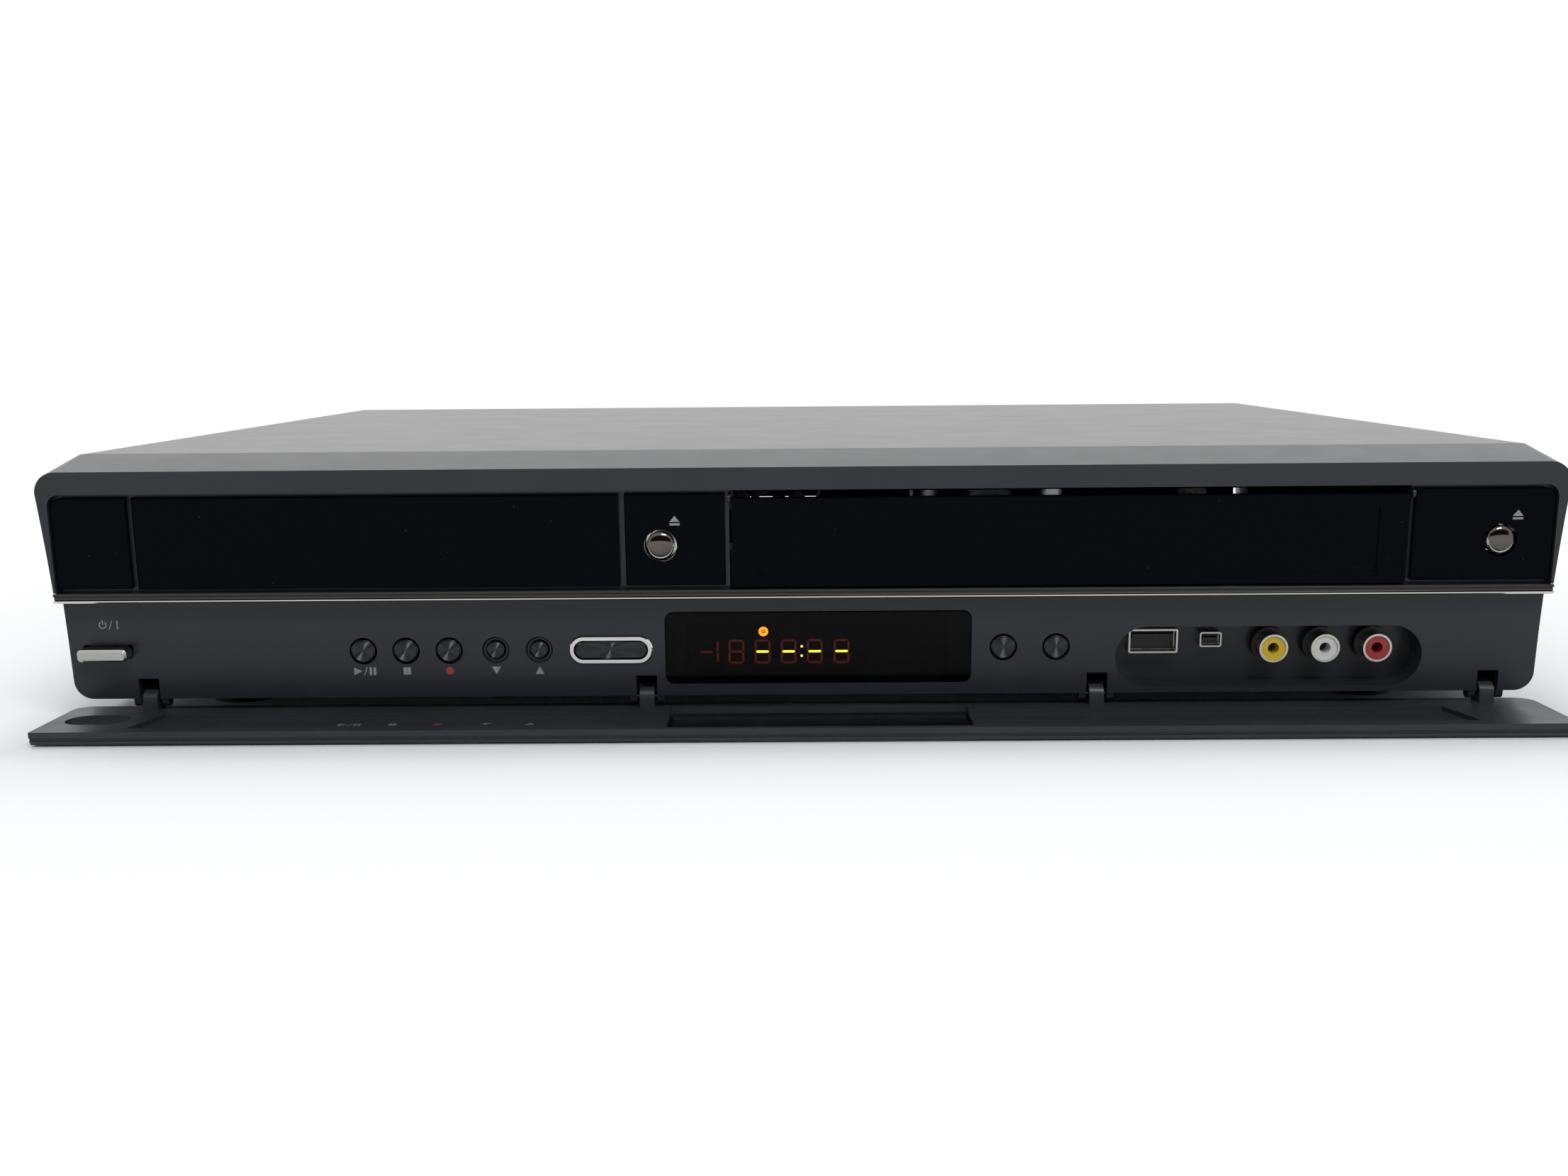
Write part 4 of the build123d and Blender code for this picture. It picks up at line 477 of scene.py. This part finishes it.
def raised_flat(name, outlines, place, thickness, material, body):
    """A closed layer over flat outlines. place(across, up, out) gives each of its points."""
    points, faces = [], []
    for outline in outlines:
        first, count = len(points), len(outline)
        points += [place(across, up, thickness) for across, up in outline]
        points += [place(across, up, 0) for across, up in outline]
        faces.append([first + step for step in range(count)])
        faces.append([first + 2 * count - 1 - step for step in range(count)])
        faces += [(first + (step + 1) % count, first + step, first + count + step,
                   first + count + (step + 1) % count) for step in range(count)]
    mesh = bpy.data.meshes.new(name)
    mesh.from_pydata(points, [], faces)
    mesh.materials.append(material)
    piece = bpy.data.objects.new(name, mesh)
    bpy.context.scene.collection.objects.link(piece)
    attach(piece, body)


def at(across, up, outline):
    """An outline moved across and up."""
    return [(across + x, up + z) for x, z in outline]


def bar(wide, high):
    """A rectangle about its middle."""
    return [(-wide / 2, -high / 2), (wide / 2, -high / 2), (wide / 2, high / 2),
            (-wide / 2, high / 2)]


def round_line(radius, start, end, line, steps=20):
    """An arc from one angle to another, in degrees, as wide as the line."""
    turns = [radians(start + (end - start) * step / steps) for step in range(steps + 1)]
    outer = [(radius * cos(turn), radius * sin(turn)) for turn in turns]
    inner = [((radius - line) * cos(turn), (radius - line) * sin(turn)) for turn in turns]
    return outer + inner[::-1]


def disc(radius, steps=24):
    """A round outline about its middle."""
    return [(radius * cos(2 * pi * step / steps), radius * sin(2 * pi * step / steps))
            for step in range(steps)]


def ink(name, colour, worn):
    """Screen printed ink: matt, thinner in places, with the pinholes of the mesh."""
    material, tree, place = new_finish(name)
    shade = add_node(tree, "ShaderNodeMix",
                     {0: patchy(tree, place, ink_patch, 0, 1, detail=3, edges=(0.45, 0.7)),
                      6: srgb(colour), 7: srgb(worn)}, data_type="RGBA")
    print_coat = add_node(tree, "ShaderNodeBsdfPrincipled", {
        "Base Color": shade.outputs[2], "Roughness": 0.6,
        "Normal": grained(tree, place, pinhole, pinhole_depth)})
    add_node(tree, "ShaderNodeOutputMaterial", {"Surface": print_coat.outputs[0]})
    return material


# Symbols in millimetres: their height, outlines, levels below the top and places across
sign = 2.3
point_right = [(-1.15, -sign / 2), (1.25, 0), (-1.15, sign / 2)]
point_down = [(-1.3, sign / 2), (0, -sign / 2), (1.3, sign / 2)]
point_up = [(-1.3, -sign / 2), (1.3, -sign / 2), (0, sign / 2)]
slash = [(-0.62, -1.25), (-0.34, -1.25), (0.62, 1.25), (0.34, 1.25)]
under_buttons = -63.0
over_power = -48.7
over_ejects = -18.6
power_across, play_across, stop_across = -200.0, -126.7, -114.3
record_across, down_across, up_across = -101.8, -88.3, -75.7
eject_places = (-35.3, 201.3)
play_sign = (at(-1.9, 0, point_right), at(0.35, 0, slash), at(1.8, 0, bar(0.75, sign)),
             at(3.0, 0, bar(0.75, sign)))
power_sign = (at(-1.75, 0, round_line(1.15, 128, 412, 0.32)), at(-1.75, 0.75, bar(0.32, 1.3)),
              at(0.55, 0, slash), at(2.5, 0, bar(0.36, 2.6)))
eject_sign = (at(0, 0.4, [(-1.45, -0.75), (1.45, -0.75), (0, 1.0)]), at(0, -1.05, bar(2.9, 0.6)))
deck_signs = [*(at(play_across, under_buttons, part) for part in play_sign),
              at(stop_across, under_buttons, bar(2.15, 2.15)),
              at(down_across, under_buttons, point_down),
              at(up_across, under_buttons, point_up)]
power_signs = [at(power_across, over_power, part) for part in power_sign]
eject_signs = [at(across, over_ejects, part) for across in eject_places for part in eject_sign]
record_signs = [at(record_across, under_buttons, disc(1.13))]
grey_ink = ink("grey_screen_print", "#8d8e8e", "#6f7071")
red_ink = ink("red_screen_print", "#a8322f", "#85302d")


def on_panel(across, up, out):
    """A point on the panel under the strip."""
    return front_point(across, -up, panel_setback - out)


def on_doors(across, up, out):
    """A point on the doors' face."""
    return front_point(across, -up, -out)


raised_flat("panel_signs", deck_signs + power_signs, on_panel, print_thick, grey_ink, "casing")
raised_flat("record_sign", record_signs, on_panel, print_thick, red_ink, "casing")
raised_flat("eject_signs", eject_signs, on_doors, print_thick, grey_ink, "casing")

# The same symbols again, printed faintly on the inside of the flap
flap_signs_ahead = 10.0  # millimetres in front of the brow
flap_inner_level = 4.4  # height of the open flap's inner face


def in_flap(across, up, out):
    """A point on the open flap's inner face."""
    return (across * mm, brow_front + (-flap_signs_ahead + up - under_buttons) * mm,
            (flap_inner_level + out) * mm)


faint_grey = ink("faint_grey_print", "#6a6d70", "#54575a")
faint_red = ink("faint_red_print", "#7c2a27", "#5a2422")
raised_flat("flap_signs", deck_signs, in_flap, print_thick, faint_grey, "flap")
raised_flat("flap_record_sign", record_signs, in_flap, print_thick, faint_red, "flap")

# ================================================================ gloss doors
# Clear styrene backed with blue-black, polished in the tool, so that it shows a
# deep mirror with a little dust and fine wiping marks on it.
speck_pitch, wiping = 6 * mm, 30 * mm


def polished_black(name, colour, specular):
    """Polished styrene: black and nearly smooth, with specks of grey dust."""
    material, tree, place = new_finish(name)
    specks = add_node(tree, "ShaderNodeTexVoronoi", {"Vector": place, "Scale": 1 / speck_pitch})
    dust = add_node(tree, "ShaderNodeMapRange",
                    {0: specks.outputs["Distance"], 1: 0.0, 2: 0.05, 3: 0.35, 4: 0.0})
    dusty = add_node(tree, "ShaderNodeMix",
                     {0: dust.outputs[0], 6: srgb(colour), 7: srgb("#55585c")},
                     data_type="RGBA")
    plastic = add_node(tree, "ShaderNodeBsdfPrincipled", {
        "Base Color": dusty.outputs[2],
        "Roughness": patchy(tree, place, wiping, 0.03, 0.09, detail=5),
        "Specular IOR Level": specular})
    add_node(tree, "ShaderNodeOutputMaterial", {"Surface": plastic.outputs[0]})
    return material


gloss_black = polished_black("polished_blue_black_styrene", "#02040a", 0.035)
for cover_name in ("left_cover", "disc_button_cover", "tape_button_cover", "tray_door",
                   "cassette_door"):
    dress(cover_name, gloss_black)

# ================================================================ bright trim
# The strip, the ring, the power tab and the eject domes are plastic with a bright chrome plate,
# which mirrors the pale room and, lower down, the dark in front. The strip and the domes also
# carry painted reflection in their colour.
strip_smear = 9 * mm
chrome = bright_plate("chrome_plated_abs", "#a3a2a0", "#b4b3b0", (0.05, 0.12))
for trim_name in ("power_button", "disc_eject_button", "tape_eject_button"):
    dress(trim_name, chrome)
ring_chrome = bright_plate("chrome_plated_ring", "#cbc8c4", "#dad8d4", (0.05, 0.1))
dress("dubbing_ring", ring_chrome)


def strip_with_painted_reflection(name, node, dark, bright, line_share):
    """Chrome painted dark over the strip for the dark room it mirrors, with a painted highlight
    along its lower bead.
    """
    near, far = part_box(node)
    material, tree, place = new_finish(name)
    height = add_node(tree, "ShaderNodeSeparateXYZ", {0: place})
    bead = add_node(tree, "ShaderNodeMapRange",
                    {0: height.outputs[2], 1: near.z + line_share * (far.z - near.z),
                     2: near.z, 3: 0.0, 4: 1.0}, interpolation_type="SMOOTHSTEP")
    colour = add_node(tree, "ShaderNodeMix",
                      {0: bead.outputs[0], 6: srgb(dark), 7: srgb(bright)}, data_type="RGBA")
    plate = add_node(tree, "ShaderNodeBsdfPrincipled", {
        "Base Color": colour.outputs[2], "Metallic": 1.0,
        "Roughness": patchy(tree, place, strip_smear, 0.06, 0.14, detail=4)})
    add_node(tree, "ShaderNodeOutputMaterial", {"Surface": plate.outputs[0]})
    return material


# The strip's colour is a painted reflection: dark for the room in front, with a painted highlight
# along the lower bead.
dress("chrome_strip", strip_with_painted_reflection("chrome_strip_painted_reflection", "chrome_strip", "#3a3a3a",
                                     "#efe9e0", 0.45))

# Each eject button has a dome on its face, which mirrors the room all round; its plate is painted
# dark, a painted reflection of the dark room in front
dome_rise = 1.5 * mm
dome_share = 0.66  # of the button's flange
dome_sink = 0.9 * mm  # the dome's foot lies inside the cap


def dome(name, node, body, material, steps=40, rings=10):
    """A domed cap over the front of a round button, closed behind."""
    near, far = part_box(node)
    middle = (near + far) / 2
    reach = (far.x - near.x) / 2 * dome_share
    square_on = Vector((0, -cos(lean), -sin(lean)))
    upward = Vector((0, -sin(lean), cos(lean)))
    foot = Vector((middle.x, near.y + dome_sink, middle.z))
    shell = bmesh.new()
    tip = shell.verts.new(foot + square_on * dome_rise)
    last = None
    for ring in range(1, rings + 1):
        turn = ring / rings * pi / 2
        circle = [shell.verts.new(foot + square_on * (dome_rise * cos(turn))
                                  + (Vector((1, 0, 0)) * cos(2 * pi * step / steps)
                                     + upward * sin(2 * pi * step / steps)) * reach * sin(turn))
                  for step in range(steps)]
        for step in range(steps):
            after = (step + 1) % steps
            if last:
                shell.faces.new((last[step], circle[step], circle[after], last[after]))
            else:
                shell.faces.new((tip, circle[step], circle[after]))
        last = circle
    shell.faces.new(last[::-1])
    bmesh.ops.recalc_face_normals(shell, faces=shell.faces)
    for face in shell.faces:
        face.smooth = len(face.verts) < steps
    mesh = bpy.data.meshes.new(name)
    shell.to_mesh(mesh)
    shell.free()
    mesh.materials.append(material)
    piece = bpy.data.objects.new(name, mesh)
    bpy.context.scene.collection.objects.link(piece)
    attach(piece, body)


# The domes' plate is painted dark, a painted reflection of the room in front, under the lamp's own
# highlights.
dome_chrome_painted_dark = bright_plate("chrome_dome_painted_reflection", "#54504d", "#66615d", (0.04, 0.08))
for eject in ("disc_eject_button", "tape_eject_button"):
    dome(eject.replace("button", "dome"), eject, eject, dome_chrome_painted_dark)

# ================================================================ display
# A vacuum fluorescent tube behind a smoked window. Its unlit digits show as faint red-brown
# shapes, given a weak painted glow, and the lit dashes and colon glow yellow.
window_smear, powder_grain = 14 * mm, 0.15 * mm


def smoked(name, tint, bend):
    """Smoked acrylic: clear and tinted all through, with a polished face."""
    material, tree, place = new_finish(name)
    clear = add_node(tree, "ShaderNodeBsdfPrincipled", {
        "Base Color": srgb(tint), "Transmission Weight": 1.0, "IOR": bend,
        "Roughness": patchy(tree, place, window_smear, 0.0, 0.03, detail=4)})
    add_node(tree, "ShaderNodeOutputMaterial", {"Surface": clear.outputs[0]})
    return material


def phosphor(name, colour, light, unlit):
    """A phosphor segment: a fine powder that glows evenly over its own dull colour; on unlit
    segments the weak glow is painted light.
    """
    material, tree, place = new_finish(name)
    glow = add_node(tree, "ShaderNodeBsdfPrincipled", {
        "Base Color": srgb(unlit), "Roughness": 0.8, "Emission Color": srgb(colour),
        "Emission Strength": patchy(tree, place, powder_grain, 0.85 * light, light)})
    add_node(tree, "ShaderNodeOutputMaterial", {"Surface": glow.outputs[0]})
    return material


dress("display_module", moulded("matt_black_tube_can", "#040405", "#070708", (0.7, 0.8), 0.05))
dress("display_window", smoked("smoked_display_window", "#5a595c", 1.17))
dress("flap_lens", smoked("smoked_flap_lens", "#5c5f64", 1.25))

# The digits' sizes, level and places across, in millimetres
digit_wide, digit_high, digit_line = 4.0, 6.6, 0.62
digit_gap = 0.12
digit_level = -58.6
digit_places = (-18.7, -11.1, -3.5, 4.1, 11.9)
lit_places = digit_places[1:]
dash_across, pair_across = -27.4, -26.1
colon_across, colon_levels, colon_dot = 0.3, (-57.1, -59.9), bar(0.6, 0.6)
disc_across, disc_level = -10.8, -52.6
tube_setback = 7.7  # of the tube's face from the doors' face
unlit_painted_glow, bright = 0.4, 9.0  # strength of a segment's light


def stroke(long, upright):
    """One segment of a digit, pointed at both ends."""
    half, line = long / 2 - digit_gap, digit_line / 2
    flat = [(-half, 0), (-half + line, -line), (half - line, -line), (half, 0),
            (half - line, line), (-half + line, line)]
    return [(x, z) for z, x in flat][::-1] if upright else flat


half_high = digit_high / 2
upright_strokes = [at(side * digit_wide / 2, part * half_high / 2, stroke(half_high, True))
                   for side in (-1, 1) for part in (-1, 1)]
end_strokes = [at(0, part * half_high, stroke(digit_wide, False)) for part in (-1, 1)]
middle_stroke = stroke(digit_wide, False)
unlit = [at(across, digit_level, part) for across in digit_places
         for part in upright_strokes + end_strokes]
unlit += [at(digit_places[0], digit_level, middle_stroke),
          at(dash_across, digit_level, middle_stroke)]
unlit += [at(pair_across, digit_level, part) for part in upright_strokes[2:]]
lit = [at(across, digit_level, middle_stroke) for across in lit_places]
lit += [at(colon_across, level, colon_dot) for level in colon_levels]


def on_tube(across, up, out):
    """A point on the tube's face."""
    return front_point(across, -up, tube_setback - out)


# The unlit segments glow weakly: painted light standing in for their dull phosphor seen in the
# room's light.
raised_flat("unlit_segments", unlit, on_tube, print_thick,
            phosphor("unlit_phosphor_painted_glow", "#b4401c", unlit_painted_glow, "#3a1d14"), "casing")
raised_flat("lit_segments", lit, on_tube, print_thick,
            phosphor("lit_yellow_phosphor", "#e8cf1c", bright, "#6a5c12"), "casing")
disc_mark = [at(disc_across, disc_level, round_line(1.4, 0, 359, 0.85, 28)),
             at(disc_across, disc_level, disc(0.28))]
raised_flat("disc_indicator", disc_mark, on_tube, print_thick,
            phosphor("lit_orange_phosphor", "#f07a12", bright, "#5c300a"), "casing")

# ================================================================ dark buttons
# Plastic caps with a spun metal face, anodised to the panel's charcoal. The rings draw
# any light out to a narrow bow across the cap. They are coarser than the real ones,
# which are too fine to show.
cap_groove, cap_slope = 0.3 * mm, 0.85
for button_name in ("play", "stop", "record", "program_down", "program_up", "select",
                    "resolution", "dubbing"):
    node = f"{button_name}_button"
    dress(node, turned(f"spun_{button_name}_cap", "#3d4145", "#484c50", node, (1, 0, 1), 0.2,
                       cap_groove, cap_slope))

# ================================================================ front sockets
# Each small port is a folded nickel shell round a black contact tongue, and all inside its rim is
# black: the tongue's own colour and painted shade over the shell's hollow. The three jacks are
# nickel sleeves round liners moulded in yellow, white and red.
port_lean = 0.3 * mm  # the shell's own depth, leaning, adds this to its height
shell_wear = 2 * mm


def shell_with_painted_hollow_shade(name, node, wall):
    """Nickel at the rim and black inside it, the tongue's own colour and painted shade in the
    hollow, told apart by the distance to the rim.
    """
    near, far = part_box(node)
    middle, half = (near + far) / 2, (far - near) / 2
    material, tree, place = new_finish(name)
    centred = add_node(tree, "ShaderNodeVectorMath", {0: place, 1: tuple(middle)},
                       operation="SUBTRACT")
    sides = add_node(tree, "ShaderNodeSeparateXYZ", {0: add_node(
        tree, "ShaderNodeVectorMath", {0: centred.outputs[0]},
        operation="ABSOLUTE").outputs[0]}).outputs
    inside_x = add_node(tree, "ShaderNodeMath", {0: sides[0], 1: half.x - wall},
                        operation="LESS_THAN")
    inside_z = add_node(tree, "ShaderNodeMath", {0: sides[2], 1: half.z - wall - port_lean},
                        operation="LESS_THAN")
    inside = add_node(tree, "ShaderNodeMath", {0: inside_x.outputs[0], 1: inside_z.outputs[0]},
                      operation="MULTIPLY")
    wear = add_node(tree, "ShaderNodeTexNoise",
                    {"Vector": place, "Scale": 1 / shell_wear, "Detail": 3}).outputs[0]
    nickel, black = (add_node(tree, "ShaderNodeMix", {0: wear, 6: srgb(low), 7: srgb(high)},
                              data_type="RGBA").outputs[2]
                     for low, high in (("#a9a7a2", "#bdbbb5"), ("#0b0b0c", "#141415")))
    rim = add_node(tree, "ShaderNodeBsdfPrincipled", {
        "Base Color": nickel, "Metallic": 1.0,
        "Roughness": patchy(tree, place, shell_wear, 0.15, 0.25, detail=3)})
    # Black inside the rim: the tongue's colour and painted shade over the shell's inner walls
    liner = add_node(tree, "ShaderNodeBsdfPrincipled", {"Base Color": black, "Roughness": 0.45})
    both = add_node(tree, "ShaderNodeMixShader",
                    {0: inside.outputs[0], 1: rim.outputs[0], 2: liner.outputs[0]})
    add_node(tree, "ShaderNodeOutputMaterial", {"Surface": both.outputs[0]})
    return material


dress("usb_port", shell_with_painted_hollow_shade("nickel_usb_shell_painted_shade", "usb_port", 0.62 * mm))
dress("dv_port", shell_with_painted_hollow_shade("nickel_dv_shell_painted_shade", "dv_port", 0.5 * mm))
dress("rca_bases", frame_black)
dress("rca_shells", socket_nickel)
for hue, low_code, high_code in (("yellow", "#c9a90a", "#d8bb1e"), ("white", "#c9c9c6", "#d8d8d5"),
                                 ("red", "#8e1d1c", "#a32a26")):
    dress(f"rca_insert_{hue}", moulded(f"moulded_{hue}_insert", low_code, high_code, (0.3, 0.4)))

# ================================================================ cover
# Sheet steel, folded over the top and sides and baked with a smooth satin black,
# which mirrors the pale room at a low angle.
cover_paint = painted_sheet("satin_black_painted_steel", "#1b1c1e", "#202124", (0.255, 0.27),
                            0.3)
dress("top_cover", cover_paint)

# ================================================================ rear inserts
# The rear jacks' liners are moulded in yellow, white and red, one column of each, and
# are pressed into the shells of the socket block.
jack_low, jack_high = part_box("rear_av_inserts")
jack_third = (jack_high.x - jack_low.x) / 3


def striped_insert():
    """One column of each colour, told apart by its place across the block."""
    material, tree, place = new_finish("moulded_rear_inserts")
    across = add_node(tree, "ShaderNodeSeparateXYZ", {0: place}).outputs[0]
    colour = srgb("#96211f")
    for column, code in ((1, "#cfcfcc"), (2, "#cdb011")):
        past = add_node(tree, "ShaderNodeMath",
                        {0: across, 1: jack_low.x + column * jack_third},
                        operation="GREATER_THAN")
        colour = add_node(tree, "ShaderNodeMix", {0: past.outputs[0], 6: colour, 7: srgb(code)},
                          data_type="RGBA").outputs[2]
    liner = add_node(tree, "ShaderNodeBsdfPrincipled", {
        "Base Color": colour, "Roughness": patchy(tree, place, 6 * mm, 0.3, 0.4)})
    add_node(tree, "ShaderNodeOutputMaterial", {"Surface": liner.outputs[0]})
    return material


dress("rear_av_inserts", striped_insert())

# ================================================================ feet and screws
# The feet are moulded rubber. The cover and the rear panel are held by steel screws
# with a black oxide skin, whose heads have a cross recess, pressed cold.
dress("feet", moulded("moulded_rubber_foot", "#111112", "#17171a", (0.6, 0.75)))
dress("casing_screws", plated_sheet("black_oxide_screw", "#161617", "#1f1f21", 2 * mm))

# The recesses are set by Geometry Nodes, one on each head: thin near-black crosses on the heads,
# painted shade where the real recess is a hollow
recess_arm, recess_wide, recess_thick = 1.15 * mm, 0.5 * mm, 0.06 * mm
join_distance = 0.002 * mm


def screw_heads(node):
    """The middle of each head's outer face, and which way it looks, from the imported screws."""
    loose = bmesh.new()
    loose.from_mesh(cad[node].data)
    bmesh.ops.remove_doubles(loose, verts=loose.verts, dist=join_distance)
    low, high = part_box(node)
    unseen, heads = set(loose.verts), []
    while unseen:
        group, front = set(), [unseen.pop()]
        while front:
            vert = front.pop()
            group.add(vert)
            near = {edge.other_vert(vert) for edge in vert.link_edges} & unseen
            unseen -= near
            front += near
        least = Vector([min(vert.co[axis] for vert in group) for axis in range(3)])
        most = Vector([max(vert.co[axis] for vert in group) for axis in range(3)])
        middle = (least + most) / 2
        if most.x > high.x - 1 * mm:
            heads.append(((most.x, middle.y, middle.z), (1, 0, 0)))
        elif least.x < low.x + 1 * mm:
            heads.append(((least.x, middle.y, middle.z), (-1, 0, 0)))
        else:
            heads.append(((middle.x, most.y, middle.z), (0, 1, 0)))
    loose.free()
    return sorted(heads)


def recess_tree():
    """Sets one cross on each point, turned to the point's own facing."""
    tree = bpy.data.node_groups.new("cross_recesses", "GeometryNodeTree")
    panel = tree.interface
    panel.new_socket("Geometry", in_out="INPUT", socket_type="NodeSocketGeometry")
    for name in ("Arm", "Width", "Thickness"):
        panel.new_socket(name, in_out="INPUT", socket_type="NodeSocketFloat")
    panel.new_socket("Finish", in_out="INPUT", socket_type="NodeSocketMaterial")
    panel.new_socket("Geometry", in_out="OUTPUT", socket_type="NodeSocketGeometry")
    given = add_node(tree, "NodeGroupInput").outputs
    length = add_node(tree, "ShaderNodeMath", {0: given["Arm"], 1: 2.0}, operation="MULTIPLY")
    size = add_node(tree, "ShaderNodeCombineXYZ",
                    {0: length.outputs[0], 1: given["Width"], 2: given["Thickness"]})
    arm = add_node(tree, "GeometryNodeMeshCube", {"Size": size.outputs[0]}).outputs["Mesh"]
    other = add_node(tree, "GeometryNodeTransform",
                     {"Geometry": arm, "Rotation": (0, 0, pi / 2)}).outputs[0]
    cross = add_node(tree, "GeometryNodeMeshBoolean", operation="UNION", solver="EXACT")
    tree.links.new(arm, cross.inputs["Mesh 2"])
    tree.links.new(other, cross.inputs["Mesh 2"])
    facing = add_node(tree, "GeometryNodeInputNamedAttribute", {"Name": "facing"},
                      data_type="FLOAT_VECTOR")
    turned_to = add_node(tree, "FunctionNodeAlignRotationToVector",
                         {"Vector": facing.outputs[0]}, axis="Z")
    spots = add_node(tree, "GeometryNodeInstanceOnPoints", {
        "Points": given["Geometry"], "Instance": cross.outputs["Mesh"],
        "Rotation": turned_to.outputs[0]})
    solid = add_node(tree, "GeometryNodeRealizeInstances", {"Geometry": spots.outputs[0]})
    finished = add_node(tree, "GeometryNodeSetMaterial",
                        {"Geometry": solid.outputs[0], "Material": given["Finish"]})
    add_node(tree, "NodeGroupOutput", {"Geometry": finished.outputs[0]})
    return tree


head_places = screw_heads("casing_screws")
recess_points = bpy.data.meshes.new("screw_recesses_painted_shade")
recess_points.from_pydata([place for place, facing in head_places], [], [])
facings = recess_points.attributes.new("facing", "FLOAT_VECTOR", "POINT")
for index, (place, facing) in enumerate(head_places):
    facings.data[index].vector = facing
recesses = bpy.data.objects.new("screw_recesses_painted_shade", recess_points)
bpy.context.scene.collection.objects.link(recesses)
set_crosses = recesses.modifiers.new("cross_recesses", "NODES")
set_crosses.node_group = recess_tree()
# The crosses' near-black is painted shade for the hollow of each recess
cross_sizes = {"Arm": recess_arm, "Width": recess_wide, "Thickness": recess_thick,
               "Finish": moulded("shaded_recess", "#050505", "#090909", (0.7, 0.8), 0.1)}
for item in set_crosses.node_group.interface.items_tree:
    if item.in_out == "INPUT" and item.name in cross_sizes:
        set_crosses[item.identifier] = cross_sizes[item.name]
shown = recesses.evaluated_get(bpy.context.evaluated_depsgraph_get())
recesses_mesh = bpy.data.meshes.new_from_object(shown)
recesses.modifiers.clear()
recesses.data = recesses_mesh
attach(recesses, "casing")
